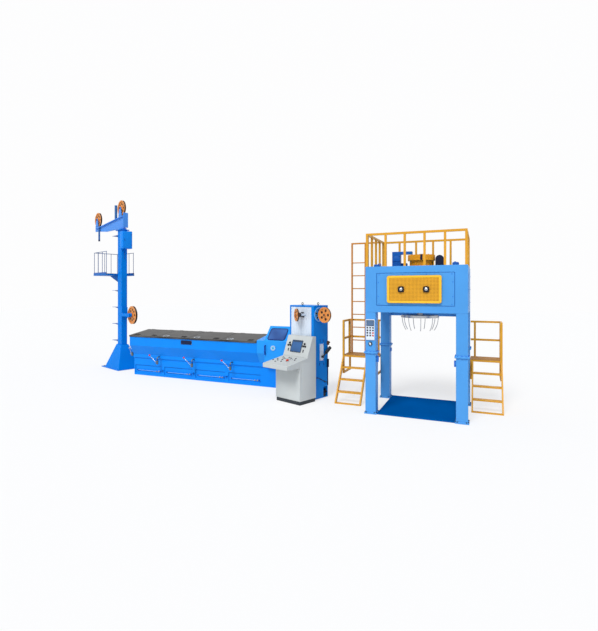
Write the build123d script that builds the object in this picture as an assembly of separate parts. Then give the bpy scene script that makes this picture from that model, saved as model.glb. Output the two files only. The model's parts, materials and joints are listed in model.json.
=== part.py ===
from build123d import *
import math
import os

os.makedirs("parts", exist_ok=True)

# All lengths are millimetres. +X runs along the line towards the coiler, -Y is the
# operator's side and +Z is up. The origin is on the floor under the middle of the
# drawing machine's tank.

# Shared clearances and stock sizes
overrun = 20.0
pin_clearance = 0.05
hinge_play = 0.5
running_gap = 6.0
seat_gap = 0.3
split_gap = 0.5
plate = 20.0
sheet = 12.0

# Drawing machine
tank_left = -2725.0
tank_length = 4940.0
machine_height = 1385.0
machine_depth = 1430.0
tank_depth = 690.0
gear_housing_height = 1400.0
front_overhang = 220.0
base_strip_share = 0.05
hatch_top_share = 0.25
panel_top_share = 0.438
ledge_top_share = 0.523
incline_top_share = 0.747
lid_thickness = 53.0
lid_rise = 133.0
ledge_depth = 40.0
tank_wall = 75.0
partition_wall = 30.0
bay_count = 4
lid_gap = 12.0
lid_front_lip = 30.0
lid_open_angle = 75.0
latch_length = 150.0
latch_width = 90.0
latch_inset = 250.0
latch_recess = 22.0
hinge_pin_radius = 12.0
hinge_knuckle_radius = 24.0
hinge_knuckle_length = 120.0
hinge_lug_length = 50.0
hinge_lug_radius = 19.0
hinge_inset = 210.0
hatch_recess = 35.0
hatch_first_inset = 48.0
hatch_pillar = 128.0
hatch_end_reach = 92.0
hatch_bar_inset = 75.0
hatch_cover_thickness = 15.0
hatch_bar_height = 30.0
hatch_bar_depth = 25.0
knob_radius = 32.0
knob_depth = 30.0
nameplate_width = 428.0
nameplate_height = 134.0
nameplate_thickness = 8.0
nameplate_margin = 34.0
nameplate_place_share = 0.438

# Capstans and die holders in the tank
capstan_radius = 190.0
capstan_step = 18.0
capstan_steps = 3
capstan_length = 330.0
capstan_flange = 22.0
capstan_shaft_radius = 45.0
capstan_place_share = 0.26
die_box_length = 130.0
die_box_width = 110.0
die_box_height = 130.0

# Lubricant valves with hand levers
valve_place_shares = (0.232, 0.517, 0.808)
valve_height_share = 0.37
valve_pipe_radius = 18.0
valve_pipe_bend = 45.0
valve_pipe_rise = 170.0
valve_body_radius = 38.0
valve_body_length = 95.0
valve_stand_off = 165.0
end_valve_setback = 75.0
end_valve_height_share = 0.5
end_valve_pipe_rise = 90.0
valve_stem_radius = 11.0
lever_length = 360.0
end_lever_length = 230.0
lever_radius = 9.0
lever_hub_radius = 24.0
lever_hub_length = 22.0
lever_ball_radius = 30.0
lever_rest_angle = 51.0
end_lever_rest_angle = 20.0

# Exit hood and its collar
collar_length = 255.0
hood_length = 740.0
hood_height = 1830.0
hood_knee_height = 1420.0
hood_top_setback = 400.0
hood_back_drop = 120.0
window_width = 540.0
window_height = 410.0
window_thickness = 18.0
window_radius = 60.0
window_drop = 37.0
hood_disc_inset = 294.0
hood_disc_height = 1214.0
hood_disc_radius = 75.0
hood_disc_thickness = 16.0
hood_handle_bottom = 1011.0
hood_handle_height = 280.0
hood_handle_depth = 60.0
hood_handle_bar = 28.0

# Dancer cabinet
cabinet_aisle = 1102.0
cabinet_corner_y = -1655.0
cabinet_yaw = -20.0
cabinet_width = 872.0
cabinet_depth = 600.0
cabinet_height = 2500.0
cabinet_frame = 45.0
cabinet_stile = 85.0
cabinet_panel_bottom = 900.0
cabinet_panel_recess = 30.0
panel_thickness = 20.0
panel_groove_count = 3
panel_groove_width = 14.0
panel_groove_depth = 6.0
eye_radius = 28.0
eye_wire = 8.0
eye_stem = 20.0
side_eye_share = 0.4
slot_plate_width = 148.0
slot_plate_height = 444.0
slot_plate_thickness = 12.0
slot_plate_bottom = 1020.0
slot_plate_place_share = 0.54
slot_width = 40.0
damper_radius = 46.0
damper_rod_radius = 18.0
damper_low_height = 1130.0
damper_high_height = 1345.0
damper_run = 300.0
damper_rod_share = 0.42
motor_niche_length = 170.0
motor_niche_height = 270.0
motor_niche_depth = 130.0
motor_niche_margin = 20.0
cabinet_motor_radius = 55.0
side_disc_setback = 200.0
side_disc_radius = 190.0
side_disc_thickness = 24.0
side_disc_rim = 26.0
dancer_axle_radius = 20.0
dancer_arm_section = 60.0
front_wheel_radius = 175.0
front_wheel_height = 2246.0
front_wheel_reach = 200.0
front_wheel_inset = 427.0
front_wheel_turn_angle = 29.0
front_housing_radius = 62.0
front_housing_length = 80.0
side_wheel_radius = 205.0
side_wheel_height = 2260.0
side_wheel_reach = 297.0
side_wheel_setback = 100.0

# Control console
console_offset_x = -111.0
console_offset_y = -655.0
console_width = 877.0
console_depth = 615.0
console_height = 1695.0
console_plinth = 95.0
console_plinth_inset = 15.0
console_knee_height = 1160.0
console_knee_setback = 268.0
console_top_depth = 135.0
desk_reach = 465.0
desk_bottom = 937.0
desk_front_height = 103.0
desk_gusset_height = 75.0
desk_gusset_inset = 110.0
screen_width = 340.0
screen_height = 293.0
screen_thickness = 12.0
screen_place_share = 0.53

# Sheave wheels: shares of the wheel's outer radius
wheel_rim_width_share = 0.20
wheel_groove_share = 0.10
wheel_rim_share = 0.17
wheel_web_share = 0.07
wheel_hub_share = 0.22
wheel_hub_width_share = 0.30
wheel_hole_share = 0.13
wheel_hole_circle_share = 0.56
dancer_hole_share = 0.18
tower_hole_count = 8
dancer_hole_count = 5

# Pay-off tower
tower_aisle = 1489.0
tower_y = 215.0
tower_turn_angle = 160.0
tower_plate_length = 1430.0
tower_plate_width = 990.0
tower_plate_thickness = 30.0
tower_toe = 250.0
tower_toe_side = 35.0
pedestal_height = 880.0
pedestal_top_margin = 30.0
mast_length = 330.0
mast_width = 220.0
mast_top = 5200.0
mast_cap_margin = 60.0
mast_cap_thickness = 30.0
step_count = 4
step_first_height = 1000.0
step_spacing = 643.0
top_step_height = 5040.0
step_length = 500.0
step_width = 200.0
step_thickness = 12.0
step_gusset_depth = 75.0
deck_length = 1155.0
deck_width = 1100.0
deck_top = 3540.0
deck_thickness = 45.0
deck_gusset_depth = 330.0
deck_gusset_length_share = 0.8
rail_height = 850.0
rail_rod_radius = 12.0
rail_post_radius = 10.0
rail_inset = 25.0
rail_post_count = 4
box_length = 275.0
box_width = 350.0
box_bottom = 4490.0
box_height = 650.0
low_wheel_radius = 330.0
low_wheel_reach = 820.0
low_wheel_height = 2010.0
tower_axle_radius = 30.0
arm_section = 110.0
arm_pad_height = 420.0
arm_pad_thickness = 30.0
housing_radius = 75.0

# Jib on the tower
slew_radius = 150.0
slew_height = 60.0
slew_pin_radius = 60.0
slew_pin_length = 90.0
jib_back = 250.0
jib_reach = 2280.0
jib_root_height = 460.0
jib_tip_height = 120.0
jib_tip_top = 5500.0
jib_knee_share = 0.62
jib_web = 70.0
jib_flange = 190.0
jib_flange_thickness = 25.0
jib_end_plate_height = 560.0
jib_tip_bore_depth = 150.0
jib_tip_bore_wall = 14.0
jib_wheel_radius = 300.0
root_wheel_place = 60.0
tip_wheel_place = 2200.0
wheel_rise = 340.0
fork_plate = 25.0
fork_foot = 260.0
fork_head = 100.0
post_place = 560.0
post_radius = 50.0
post_height = 560.0
post_bore_depth = 60.0
post_wall = 8.0
guide_place = 1960.0
guide_radius = 36.0
guide_drop = 560.0

# Coiler gantry
gantry_aisle = 1558.0
gantry_width = 2255.0
gantry_front = -2310.0
gantry_depth = 1925.0
column_width = 245.0
column_depth = 260.0
column_foot = 30.0
column_foot_margin = 25.0
splice_height = 1440.0
splice_thickness = 40.0
splice_margin = 30.0
head_bottom = 2387.0
head_top = 3454.0
head_panel_side = 265.0
head_panel_margin = 155.0
head_panel_groove = 12.0
head_lip = 160.0
head_lip_inset = 60.0
floor_thickness = 30.0
cover_width = 1200.0
cover_height = 625.0
cover_thickness = 45.0
cover_radius = 50.0
cover_place_share = 0.495
cover_knob_radius = 76.0
cover_knob_depth = 30.0
cover_knob_share = 0.23
ring_radius = 450.0
ring_height = 60.0
ring_lip = 40.0
ring_drop = 90.0
ring_place_share = 0.5
rotor_shaft_radius = 70.0
rotor_shaft_length = 160.0
finger_count = 9
finger_radius = 8.0
finger_drop = 310.0
finger_lean = 95.0
panel_width = 205.0
panel_height = 487.0
panel_depth = 25.0
panel_bottom = 1734.0
switch_radius = 45.0
switch_drop = 85.0

# Walkway on the gantry's roof
roof_rail_height = 781.0
tube = 50.0
roof_front_bays = 5
roof_side_bays = 4
roof_rail_inset = 10.0
drum_radius = 320.0
drum_height = 135.0
drum_base_height = 165.0
drum_base_radius = 260.0
drum_x_share = 0.52
drum_y_share = 0.45
arm_post_width = 200.0
arm_post_depth = 160.0
arm_post_height = 400.0
arm_post_place = 480.0
arm_length = 280.0
arm_height = 70.0
gear_motor_radius = 95.0
gear_motor_length = 300.0
gear_motor_base = 190.0

# Platforms and stairs beside the gantry
platform_width_left = 950.0
platform_width_right = 745.0
platform_depth = 665.0
platform_top = 1155.0
platform_right_reach = 480.0
platform_deck = 45.0
platform_leg_drop = 450.0
side_rail_height = 945.0
stair_run = 690.0
stair_width_left = 680.0
stair_width_right = 700.0
stringer_depth = 90.0
stringer_thickness = 35.0
tread_count = 4
tread_depth = 150.0
tread_thickness = 35.0
ladder_place = 120.0
ladder_width = 380.0
ladder_tube = 40.0
rung_radius = 14.0
rung_spacing = 360.0

# Places worked out from the driving dimensions
tank_right = tank_left + tank_length
hood_left = tank_right + collar_length
hood_right = hood_left + hood_length
tower_x = tank_left - tower_aisle
cabinet_corner_x = hood_right + cabinet_aisle
gantry_left = cabinet_corner_x + gantry_aisle
gantry_right = gantry_left + gantry_width
half_depth = machine_depth / 2
tank_front = -half_depth
tank_back = tank_front + tank_depth
upper_front = tank_front - front_overhang
base_strip_top = machine_height * base_strip_share
hatch_top = machine_height * hatch_top_share
panel_top = machine_height * panel_top_share
ledge_top = machine_height * ledge_top_share
incline_top = machine_height * incline_top_share
bay_pitch = tank_length / bay_count
hatch_pitch = (tank_length + hatch_end_reach) / bay_count
lid_front = upper_front - lid_front_lip
lid_slope = math.atan2(lid_rise, tank_back - lid_front)
lid_length = math.hypot(lid_rise, tank_back - lid_front)
lid_back_gap = hinge_knuckle_radius + running_gap
lid_reach = lid_length + lid_back_gap
half_lid = lid_thickness / 2
lid_hinge_y = lid_front + lid_reach * math.cos(lid_slope) + half_lid * math.sin(lid_slope)
lid_hinge_z = machine_height + lid_reach * math.sin(lid_slope) - half_lid * math.cos(lid_slope)
gantry_back = gantry_front + gantry_depth
platform_left_front = gantry_back - platform_depth
platform_right_front = gantry_back + platform_right_reach - platform_depth
roof_rail_top = head_top + roof_rail_height


# Shape helpers
def block(x0, x1, y0, y1, z0, z1):
    """A box between six planes."""
    corner = (Align.MIN, Align.MIN, Align.MIN)
    return Pos(x0, y0, z0) * Box(x1 - x0, y1 - y0, z1 - z0, align=corner)


def prism_along_x(outline, x0, x1):
    """An outline of (y, z) points, drawn out from x0 to x1."""
    face = make_face(Polyline(*outline, close=True))
    return extrude(Plane.YZ.offset(x0) * face, amount=x1 - x0)


def prism_along_y(outline, y0, y1):
    """An outline of (x, z) points, drawn out from y0 to y1."""
    face = make_face(Polyline(*outline, close=True))
    return extrude(Plane.XZ.offset(-y0) * face, amount=y0 - y1)


def rod(start, end, radius):
    """A round bar between two points."""
    line = Vector(*end) - Vector(*start)
    return extrude(Plane(origin=start, z_dir=line) * Circle(radius), amount=line.length)


def ring_between(start, end, outer, inner):
    """A round tube between two points."""
    line = Vector(*end) - Vector(*start)
    section = Circle(outer) - Circle(inner)
    return extrude(Plane(origin=start, z_dir=line) * section, amount=line.length)


def group(solids):
    """Several solids of one node, kept apart."""
    return Compound([solid for item in solids for solid in item.solids()])


def fused(solids):
    """Touching pieces made one solid."""
    whole = solids[0]
    for item in solids[1:]:
        whole = whole + item
    return whole


def wheel(radius, bore, hole_count, hole_share):
    """A grooved sheave about the Z axis, with round holes in its web."""
    half_rim = radius * wheel_rim_width_share / 2
    half_web = radius * wheel_web_share / 2
    half_hub = radius * wheel_hub_width_share / 2
    rim_inner = radius * (1 - wheel_rim_share)
    hub = radius * wheel_hub_share
    bottom = radius * (1 - wheel_groove_share)
    outline = [
        (bore, -half_hub),
        (hub, -half_hub),
        (hub, -half_web),
        (rim_inner, -half_web),
        (rim_inner, -half_rim),
        (radius, -half_rim),
        (bottom, 0),
        (radius, half_rim),
        (rim_inner, half_rim),
        (rim_inner, half_web),
        (hub, half_web),
        (hub, half_hub),
        (bore, half_hub),
    ]
    body = revolve(Plane.XZ * make_face(Polyline(*outline, close=True)), Axis.Z)
    hole = Cylinder(radius * hole_share, half_rim * 2)
    circle = PolarLocations(radius * wheel_hole_circle_share, hole_count)
    return body - [place * hole for place in circle]


# Pay-off tower, drawn with its own X towards the jib's tip
tower_place = Pos(tower_x, tower_y, 0) * Rot(0, 0, tower_turn_angle)
mast_face = mast_length / 2
mast_side = mast_width / 2
jib_base = mast_top + mast_cap_thickness + slew_height


def tower_base():
    half_length = tower_plate_length / 2
    half_width = tower_plate_width / 2
    foot = block(-half_length, half_length, -half_width, half_width, 0, tower_plate_thickness)
    foot_left = -half_length + tower_toe_side
    foot_right = half_length - tower_toe
    foot_side = half_width - tower_toe_side
    middle = (foot_left + foot_right) / 2
    low = Pos(middle, 0, tower_plate_thickness) * Rectangle(foot_right - foot_left, foot_side * 2)
    margin = pedestal_top_margin * 2
    high = Pos(0, 0, pedestal_height) * Rectangle(mast_length + margin, mast_width + margin)
    return foot + loft([low, high])


def tower_mast():
    mast = block(-mast_face, mast_face, -mast_side, mast_side, pedestal_height, mast_top)
    reach = mast_face + mast_cap_margin
    side = mast_side + mast_cap_margin
    cap = block(-reach, reach, -side, side, mast_top, mast_top + mast_cap_thickness)
    socket_depth = mast_cap_thickness + slew_pin_length
    top = mast_top + mast_cap_thickness
    socket = rod((0, 0, top - socket_depth), (0, 0, top + overrun), slew_pin_radius + pin_clearance)
    return mast + cap - socket


def tower_step(height):
    half = step_width / 2
    end = mast_face + step_length
    under = height - step_thickness
    tread = block(mast_face, end, -half, half, under, height)
    half_gusset = step_thickness / 2
    outline = [(mast_face, under), (end, under), (mast_face, under - step_gusset_depth)]
    return tread + prism_along_y(outline, -half_gusset, half_gusset)


def tower_steps():
    heights = [step_first_height + step_spacing * i for i in range(step_count)]
    return group([tower_step(height) for height in heights + [top_step_height]])


def tower_platform():
    half = deck_width / 2
    end = mast_face + deck_length
    under = deck_top - deck_thickness
    deck = block(mast_face, end, -half, half, under, deck_top)
    gusset_end = mast_face + deck_length * deck_gusset_length_share
    outline = [(mast_face, under), (gusset_end, under), (mast_face, under - deck_gusset_depth)]
    half_gusset = sheet / 2
    return deck + prism_along_y(outline, -half_gusset, half_gusset)


def tower_rail_side(side):
    """The railing along one side of the platform."""
    first = mast_face + rail_inset
    last = mast_face + deck_length - rail_inset
    y = side * (deck_width / 2 - rail_inset)
    top = deck_top + rail_height
    step = (last - first) / (rail_post_count - 1)
    posts = [first + step * i for i in range(rail_post_count)]
    pieces = [rod((x, y, deck_top), (x, y, top), rail_post_radius) for x in posts]
    start = (first - rail_rod_radius, y, top)
    end = (last + rail_rod_radius, y, top)
    pieces.append(rod(start, end, rail_rod_radius))
    return fused(pieces)


def tower_rail_end():
    """The railing across the platform's outer end."""
    x = mast_face + deck_length - rail_inset
    y = deck_width / 2 - rail_inset - rail_rod_radius - split_gap
    top = deck_top + rail_height
    step = y * 2 / rail_post_count
    posts = [-y + step * (i + 1 / 2) for i in range(rail_post_count)]
    pieces = [rod((x, place, deck_top), (x, place, top), rail_post_radius) for place in posts]
    pieces.append(rod((x, -y, top), (x, y, top), rail_rod_radius))
    return fused(pieces)


def tower_box():
    half = box_width / 2
    return block(-mast_face - box_length, -mast_face, -half, half, box_bottom, box_bottom + box_height)


low_half_hub = low_wheel_radius * wheel_hub_width_share / 2


def tower_wheel_arm():
    """The low wheel's pad, arm, bearing housing and axle, on the mast's right face."""
    half = arm_section / 2
    pad_bottom = low_wheel_height - arm_pad_height / 3
    pad = block(
        -mast_face - arm_pad_thickness,
        -mast_face,
        -mast_side,
        mast_side,
        pad_bottom,
        pad_bottom + arm_pad_height,
    )
    arm_back = low_half_hub + running_gap
    arm = block(
        -low_wheel_reach,
        -mast_face - arm_pad_thickness,
        arm_back,
        arm_back + arm_section,
        low_wheel_height - half,
        low_wheel_height + half,
    )
    centre = (-low_wheel_reach, low_wheel_height)
    arm_front = arm_back + arm_section
    housing = rod((centre[0], arm_back, centre[1]), (centre[0], arm_front, centre[1]), housing_radius)
    far = -low_half_hub - running_gap
    axle = rod((centre[0], far, centre[1]), (centre[0], arm_back, centre[1]), tower_axle_radius)
    return fused([pad, arm, housing, axle])


def sheave_on_y(x, z, radius, bore):
    """A wheel whose axis lies along Y, in the tower's own frame."""
    return Pos(x, 0, z) * Rot(90, 0, 0) * wheel(radius, bore, tower_hole_count, wheel_hole_share)


def jib_top(x):
    """Height of the jib's sloping top at a place along it."""
    root = jib_base + jib_root_height
    share = (x + jib_back) / (jib_reach + jib_back)
    return root + (jib_tip_top - root) * share


def jib_beam():
    """Tapered web with a top flange, an end plate and an open tube at its tip."""
    knee = jib_reach * jib_knee_share
    half_web = jib_web / 2
    half_flange = jib_flange / 2
    web_outline = [
        (-jib_back, jib_base),
        (knee, jib_base),
        (jib_reach, jib_tip_top - jib_tip_height),
        (jib_reach, jib_tip_top),
        (-jib_back, jib_top(-jib_back)),
    ]
    flange_outline = [
        (-jib_back, jib_top(-jib_back)),
        (-jib_back, jib_top(-jib_back) - jib_flange_thickness),
        (jib_reach, jib_tip_top - jib_flange_thickness),
        (jib_reach, jib_tip_top),
    ]
    web = prism_along_y(web_outline, -half_web, half_web)
    flange = prism_along_y(flange_outline, -half_flange, half_flange)
    end = block(
        -jib_back - plate,
        -jib_back,
        -half_flange,
        half_flange,
        jib_base,
        jib_base + jib_end_plate_height,
    )
    bottom = mast_top + mast_cap_thickness
    slew = rod((0, 0, bottom), (0, 0, jib_base), slew_radius)
    pin = rod((0, 0, bottom - slew_pin_length), (0, 0, bottom), slew_pin_radius)
    tip_half = jib_web / 2
    tip = block(
        jib_reach,
        jib_reach + jib_tip_bore_depth,
        -tip_half,
        tip_half,
        jib_tip_top - jib_tip_height,
        jib_tip_top,
    )
    wall = jib_tip_bore_wall
    bore = block(
        jib_reach,
        jib_reach + jib_tip_bore_depth + overrun,
        -tip_half + wall,
        tip_half - wall,
        jib_tip_top - jib_tip_height + wall,
        jib_tip_top - wall,
    )
    return fused([web, flange, end, slew, pin, tip]) - bore


jib_half_hub = jib_wheel_radius * wheel_hub_width_share / 2


def jib_fork(x):
    """A tapered plate beside a jib wheel, with its axle."""
    foot = jib_top(x)
    centre = foot + wheel_rise
    near = jib_half_hub + running_gap
    slope = (jib_tip_top - jib_top(-jib_back)) / (jib_reach + jib_back)
    outline = [
        (x - fork_foot / 2, foot - slope * fork_foot / 2),
        (x + fork_foot / 2, foot + slope * fork_foot / 2),
        (x + fork_head / 2, centre + fork_head / 2),
        (x - fork_head / 2, centre + fork_head / 2),
    ]
    side = prism_along_y(outline, near, near + fork_plate)
    axle = rod((x, -near, centre), (x, near, centre), tower_axle_radius)
    return side + axle


def jib_post_and_guide():
    """The upright tube on the jib and the guide pipe that hangs from it."""
    foot = jib_top(post_place) + slope_lift(post_radius)
    post = rod((post_place, 0, foot), (post_place, 0, foot + post_height), post_radius)
    top = foot + post_height
    bore_radius = post_radius - post_wall
    bore = rod((post_place, 0, top - post_bore_depth), (post_place, 0, top + overrun), bore_radius)
    side = jib_web / 2 + guide_radius
    head = jib_top(guide_place) - jib_flange_thickness - slope_lift(guide_radius)
    guide = rod((guide_place, side, head - guide_drop), (guide_place, side, head), guide_radius)
    return group([post - bore, guide])


def slope_lift(radius):
    """How far the sloping top of the jib rises over a given radius."""
    slope = (jib_top(-jib_back) - jib_tip_top) / (jib_reach + jib_back)
    return slope * radius


# Drawing machine
def machine_base():
    """Lower body with its ledge and the recesses for the bottom hatches."""
    outline = [
        (tank_front, 0),
        (tank_front, panel_top),
        (tank_front - ledge_depth, panel_top),
        (tank_front - ledge_depth, ledge_top),
        (half_depth, ledge_top),
        (half_depth, 0),
    ]
    body = prism_along_x(outline, tank_left, hood_right)
    for i in range(bay_count):
        left, right = hatch_span(i)
        body = body - block(
            left,
            right,
            tank_front - overrun,
            tank_front + hatch_recess,
            base_strip_top,
            hatch_top,
        )
    return body


def hatch_span(index):
    left = tank_left + hatch_first_inset + hatch_pitch * index
    return left, left + hatch_pitch - hatch_pillar


def hatch_cover(index):
    """A recessed cover with its clamping bar."""
    left, right = hatch_span(index)
    back = tank_front + hatch_recess
    face = back - hatch_cover_thickness
    cover = block(left, right, face, back, base_strip_top, hatch_top)
    middle = base_strip_top + (hatch_top - base_strip_top) / 3
    bar = block(
        left + hatch_bar_inset,
        right,
        face - hatch_bar_depth,
        face,
        middle,
        middle + hatch_bar_height,
    )
    return cover + bar


def hatch_covers():
    return group([hatch_cover(i) for i in range(bay_count)])


def hatch_knobs():
    """Round knobs on the pillars between the hatches."""
    height = (base_strip_top + hatch_top) / 2
    places = [hatch_span(i)[1] + hatch_pillar / 2 for i in range(bay_count - 1)]
    return group(
        [rod((x, tank_front - knob_depth, height), (x, tank_front, height), knob_radius) for x in places]
    )


def under_lid(y):
    """Height of the tank's sloping rim, just under the closed lids."""
    drop = half_lid + seat_gap
    run = y - lid_hinge_y - drop * math.sin(lid_slope)
    return lid_hinge_z + run * math.tan(lid_slope) - drop * math.cos(lid_slope)


def tank_front_wall():
    """The front gallery, which leans out to the overhanging band."""
    inner = tank_front + tank_wall
    outline = [
        (tank_front - ledge_depth, ledge_top),
        (upper_front, incline_top),
        (upper_front, under_lid(upper_front)),
        (inner, under_lid(inner)),
        (inner, ledge_top),
    ]
    return prism_along_x(outline, tank_left, tank_right)


def gear_housing():
    """The tank's back wall and the gear housing behind it, as one casting."""
    inner = tank_back - tank_wall
    outline = [
        (inner, ledge_top),
        (inner, under_lid(inner)),
        (tank_back, under_lid(tank_back)),
        (tank_back, gear_housing_height),
        (half_depth, gear_housing_height),
        (half_depth, ledge_top),
    ]
    return prism_along_x(outline, tank_left, tank_right)


def tank_partitions():
    """The two ends of the tank and the walls between its bays."""
    near = tank_front + tank_wall
    far = tank_back - tank_wall
    outline = [(near, ledge_top), (near, under_lid(near)), (far, under_lid(far)), (far, ledge_top)]
    walls = []
    for i in range(bay_count + 1):
        left = tank_left + bay_pitch * i - partition_wall / 2
        left = min(max(left, tank_left), tank_right - partition_wall)
        walls.append(prism_along_x(outline, left, left + partition_wall))
    return group(walls)


def capstan(x):
    """A stepped drawing cone on its shaft out of the back wall."""
    z = (ledge_top + under_lid(tank_front)) / 2
    back = tank_back - tank_wall
    radii = [capstan_radius - capstan_step * i for i in range(capstan_steps)]
    width = (capstan_length - capstan_flange) / capstan_steps
    outline = [(0, 0), (capstan_radius + capstan_step, 0), (capstan_radius + capstan_step, capstan_flange)]
    depth = capstan_flange
    for radius in radii:
        outline.append((radius, depth))
        depth = depth + width
        outline.append((radius, depth))
    outline.append((capstan_shaft_radius, depth))
    outline.append((capstan_shaft_radius, depth + capstan_flange))
    outline.append((0, depth + capstan_flange))
    cone = revolve(Plane.XZ * make_face(Polyline(*outline, close=True)), Axis.Z)
    return Pos(x, back, z) * Rot(90, 0, 0) * cone


def bay_places():
    places = []
    for i in range(bay_count):
        left = tank_left + bay_pitch * i
        places.append(left + bay_pitch * capstan_place_share)
        places.append(left + bay_pitch * (1 - capstan_place_share))
    return places


def capstans():
    return group([capstan(x) for x in bay_places()])


def die_holders():
    """A die box on its stand between each pair of capstans."""
    half = die_box_length / 2
    back = tank_back - tank_wall
    pieces = []
    for i in range(bay_count):
        x = tank_left + bay_pitch * (i + 1 / 2)
        top = ledge_top + die_box_height * 2
        middle = back - die_box_width
        stand = block(x - half, x + half, middle, back, ledge_top, top)
        case = block(x - half, x + half, back - capstan_length, middle, top - die_box_height, top)
        pieces.append(stand + case)
    return group(pieces)


# Lids
def lid_span(index):
    left = tank_left + bay_pitch * index
    right = left + bay_pitch - lid_gap
    return left, right


def hinge_places(index):
    left, right = lid_span(index)
    return (left + hinge_inset, right - hinge_inset)


def lid(index):
    """A hinged cover with two latch recesses, drawn level with its hinge on the X axis."""
    left, right = lid_span(index)
    back = -lid_back_gap
    front = back - lid_length
    cover = block(left, right, front, back, -half_lid, half_lid)
    for x in (left + latch_inset, right - latch_inset):
        cover = cover - block(
            x - latch_length / 2,
            x + latch_length / 2,
            front + latch_width,
            front + latch_width * 2,
            half_lid - latch_recess,
            half_lid + overrun,
        )
    half = hinge_knuckle_length / 2
    leaf = lid_thickness / 4
    for x in hinge_places(index):
        strap = block(x - half, x + half, back - overrun, 0, -leaf, leaf)
        knuckle = rod((x - half, 0, 0), (x + half, 0, 0), hinge_knuckle_radius)
        start = (x - half - overrun, 0, 0)
        end = (x + half + overrun, 0, 0)
        bore = rod(start, end, hinge_pin_radius + pin_clearance)
        cover = cover + strap + knuckle - bore
    return Pos(0, lid_hinge_y, lid_hinge_z) * Rot(math.degrees(lid_slope), 0, 0) * cover


def lid_hinge(x):
    """Two round-headed lugs on the gear housing and the pin through them."""
    near = hinge_knuckle_length / 2 + hinge_play
    far = near + hinge_lug_length
    y = lid_hinge_y
    z = lid_hinge_z
    pieces = [rod((x - far, y, z), (x + far, y, z), hinge_pin_radius)]
    for left, right in ((x - far, x - near), (x + near, x + far)):
        near_face = y - hinge_lug_radius
        far_face = y + hinge_lug_radius
        pieces.append(block(left, right, near_face, far_face, gear_housing_height, z))
        pieces.append(rod((left, y, z), (right, y, z), hinge_lug_radius))
    return fused(pieces)


def lid_hinges():
    return group([lid_hinge(x) for i in range(bay_count) for x in hinge_places(i)])


def nameplate():
    """A bare plate on the upper band."""
    x = tank_left + tank_length * nameplate_place_share
    top = under_lid(upper_front) - nameplate_margin
    return block(
        x,
        x + nameplate_width,
        upper_front - nameplate_thickness,
        upper_front,
        top - nameplate_height,
        top,
    )


# Valves, drawn with the panel's face in the XZ plane and the lever's axis along Y
lever_near = -valve_stand_off - valve_body_radius - running_gap / 2
lever_far = lever_near - lever_hub_length
valve_places = [tank_left + tank_length * share for share in valve_place_shares]
valve_z = machine_height * valve_height_share
end_valve_z = machine_height * end_valve_height_share


def valve_frames():
    """The valves along the front, then the one on the left end."""
    frames = [Pos(x, tank_front, valve_z) for x in valve_places]
    end = Pos(tank_left, tank_front + end_valve_setback, end_valve_z) * Rot(0, 0, -90)
    return frames + [end]


def valve_body(wall, rise):
    """A pipe out of the wall that bends down to the upright body, and the lever's stem."""
    y = -valve_stand_off
    half = valve_body_length / 2
    path = FilletPolyline((0, -wall, rise), (0, y, rise), (0, y, 0), radius=valve_pipe_bend)
    section = Plane(origin=path @ 0, z_dir=path % 0) * Circle(valve_pipe_radius)
    pipe = sweep(section, path=path)
    body = rod((0, y, -half), (0, y, half), valve_body_radius)
    stem = rod((0, y, 0), (0, lever_far - running_gap / 2, 0), valve_stem_radius)
    return fused([body, pipe, stem])


def valve_lever(side, rest_angle, length):
    """Hub, rod and ball of one hand lever, which leans to one side."""
    angle = math.radians(rest_angle)
    middle = (lever_near + lever_far) / 2
    hub = rod((0, lever_near, 0), (0, lever_far, 0), lever_hub_radius)
    reach = length - lever_ball_radius / 2
    away = (side * math.sin(angle), math.cos(angle))
    arm = rod((0, middle, 0), (away[0] * reach, middle, away[1] * reach), lever_radius)
    ball_place = Pos(away[0] * length, middle, away[1] * length)
    ball = ball_place * Rot(90, 0, 0) * Sphere(lever_ball_radius)
    bore_radius = valve_stem_radius + pin_clearance
    bore = rod((0, lever_near + overrun, 0), (0, lever_far - overrun, 0), bore_radius)
    return fused([hub, arm, ball]) - bore


def valve_bodies():
    places = valve_frames()
    front = [place * valve_body(ledge_depth, valve_pipe_rise) for place in places[:-1]]
    return group(front + [places[-1] * valve_body(0, end_valve_pipe_rise)])


# Hood
def hood():
    """Exit hood with a sloping front, and the collar that leads up to it."""
    outline = [
        (upper_front, ledge_top),
        (upper_front, hood_knee_height),
        (upper_front + hood_top_setback, hood_height),
        (half_depth, hood_height - hood_back_drop),
        (half_depth, ledge_top),
    ]
    body = prism_along_x(outline, hood_left, hood_right)
    collar_outline = [
        (tank_front - ledge_depth, ledge_top),
        (upper_front, incline_top),
        (upper_front, hood_knee_height),
        (tank_back, hood_knee_height + lid_rise),
        (tank_back, gear_housing_height),
        (half_depth, gear_housing_height),
        (half_depth, ledge_top),
    ]
    return body + prism_along_x(collar_outline, tank_right, hood_left)


hood_slope = math.atan2(hood_height - hood_knee_height, hood_top_setback)


def on_hood_slope(shape):
    """Places a piece drawn flat in XY on the middle of the hood's slope."""
    middle_y = upper_front + hood_top_setback / 2
    middle_z = (hood_knee_height + hood_height) / 2
    middle_x = (hood_left + hood_right) / 2
    return Pos(middle_x, middle_y, middle_z) * Rot(math.degrees(hood_slope), 0, 0) * shape


def hood_window():
    """A rounded pane on the slope."""
    pane = RectangleRounded(window_width, window_height, window_radius)
    return on_hood_slope(Pos(0, -window_drop, 0) * extrude(pane, amount=window_thickness))


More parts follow.
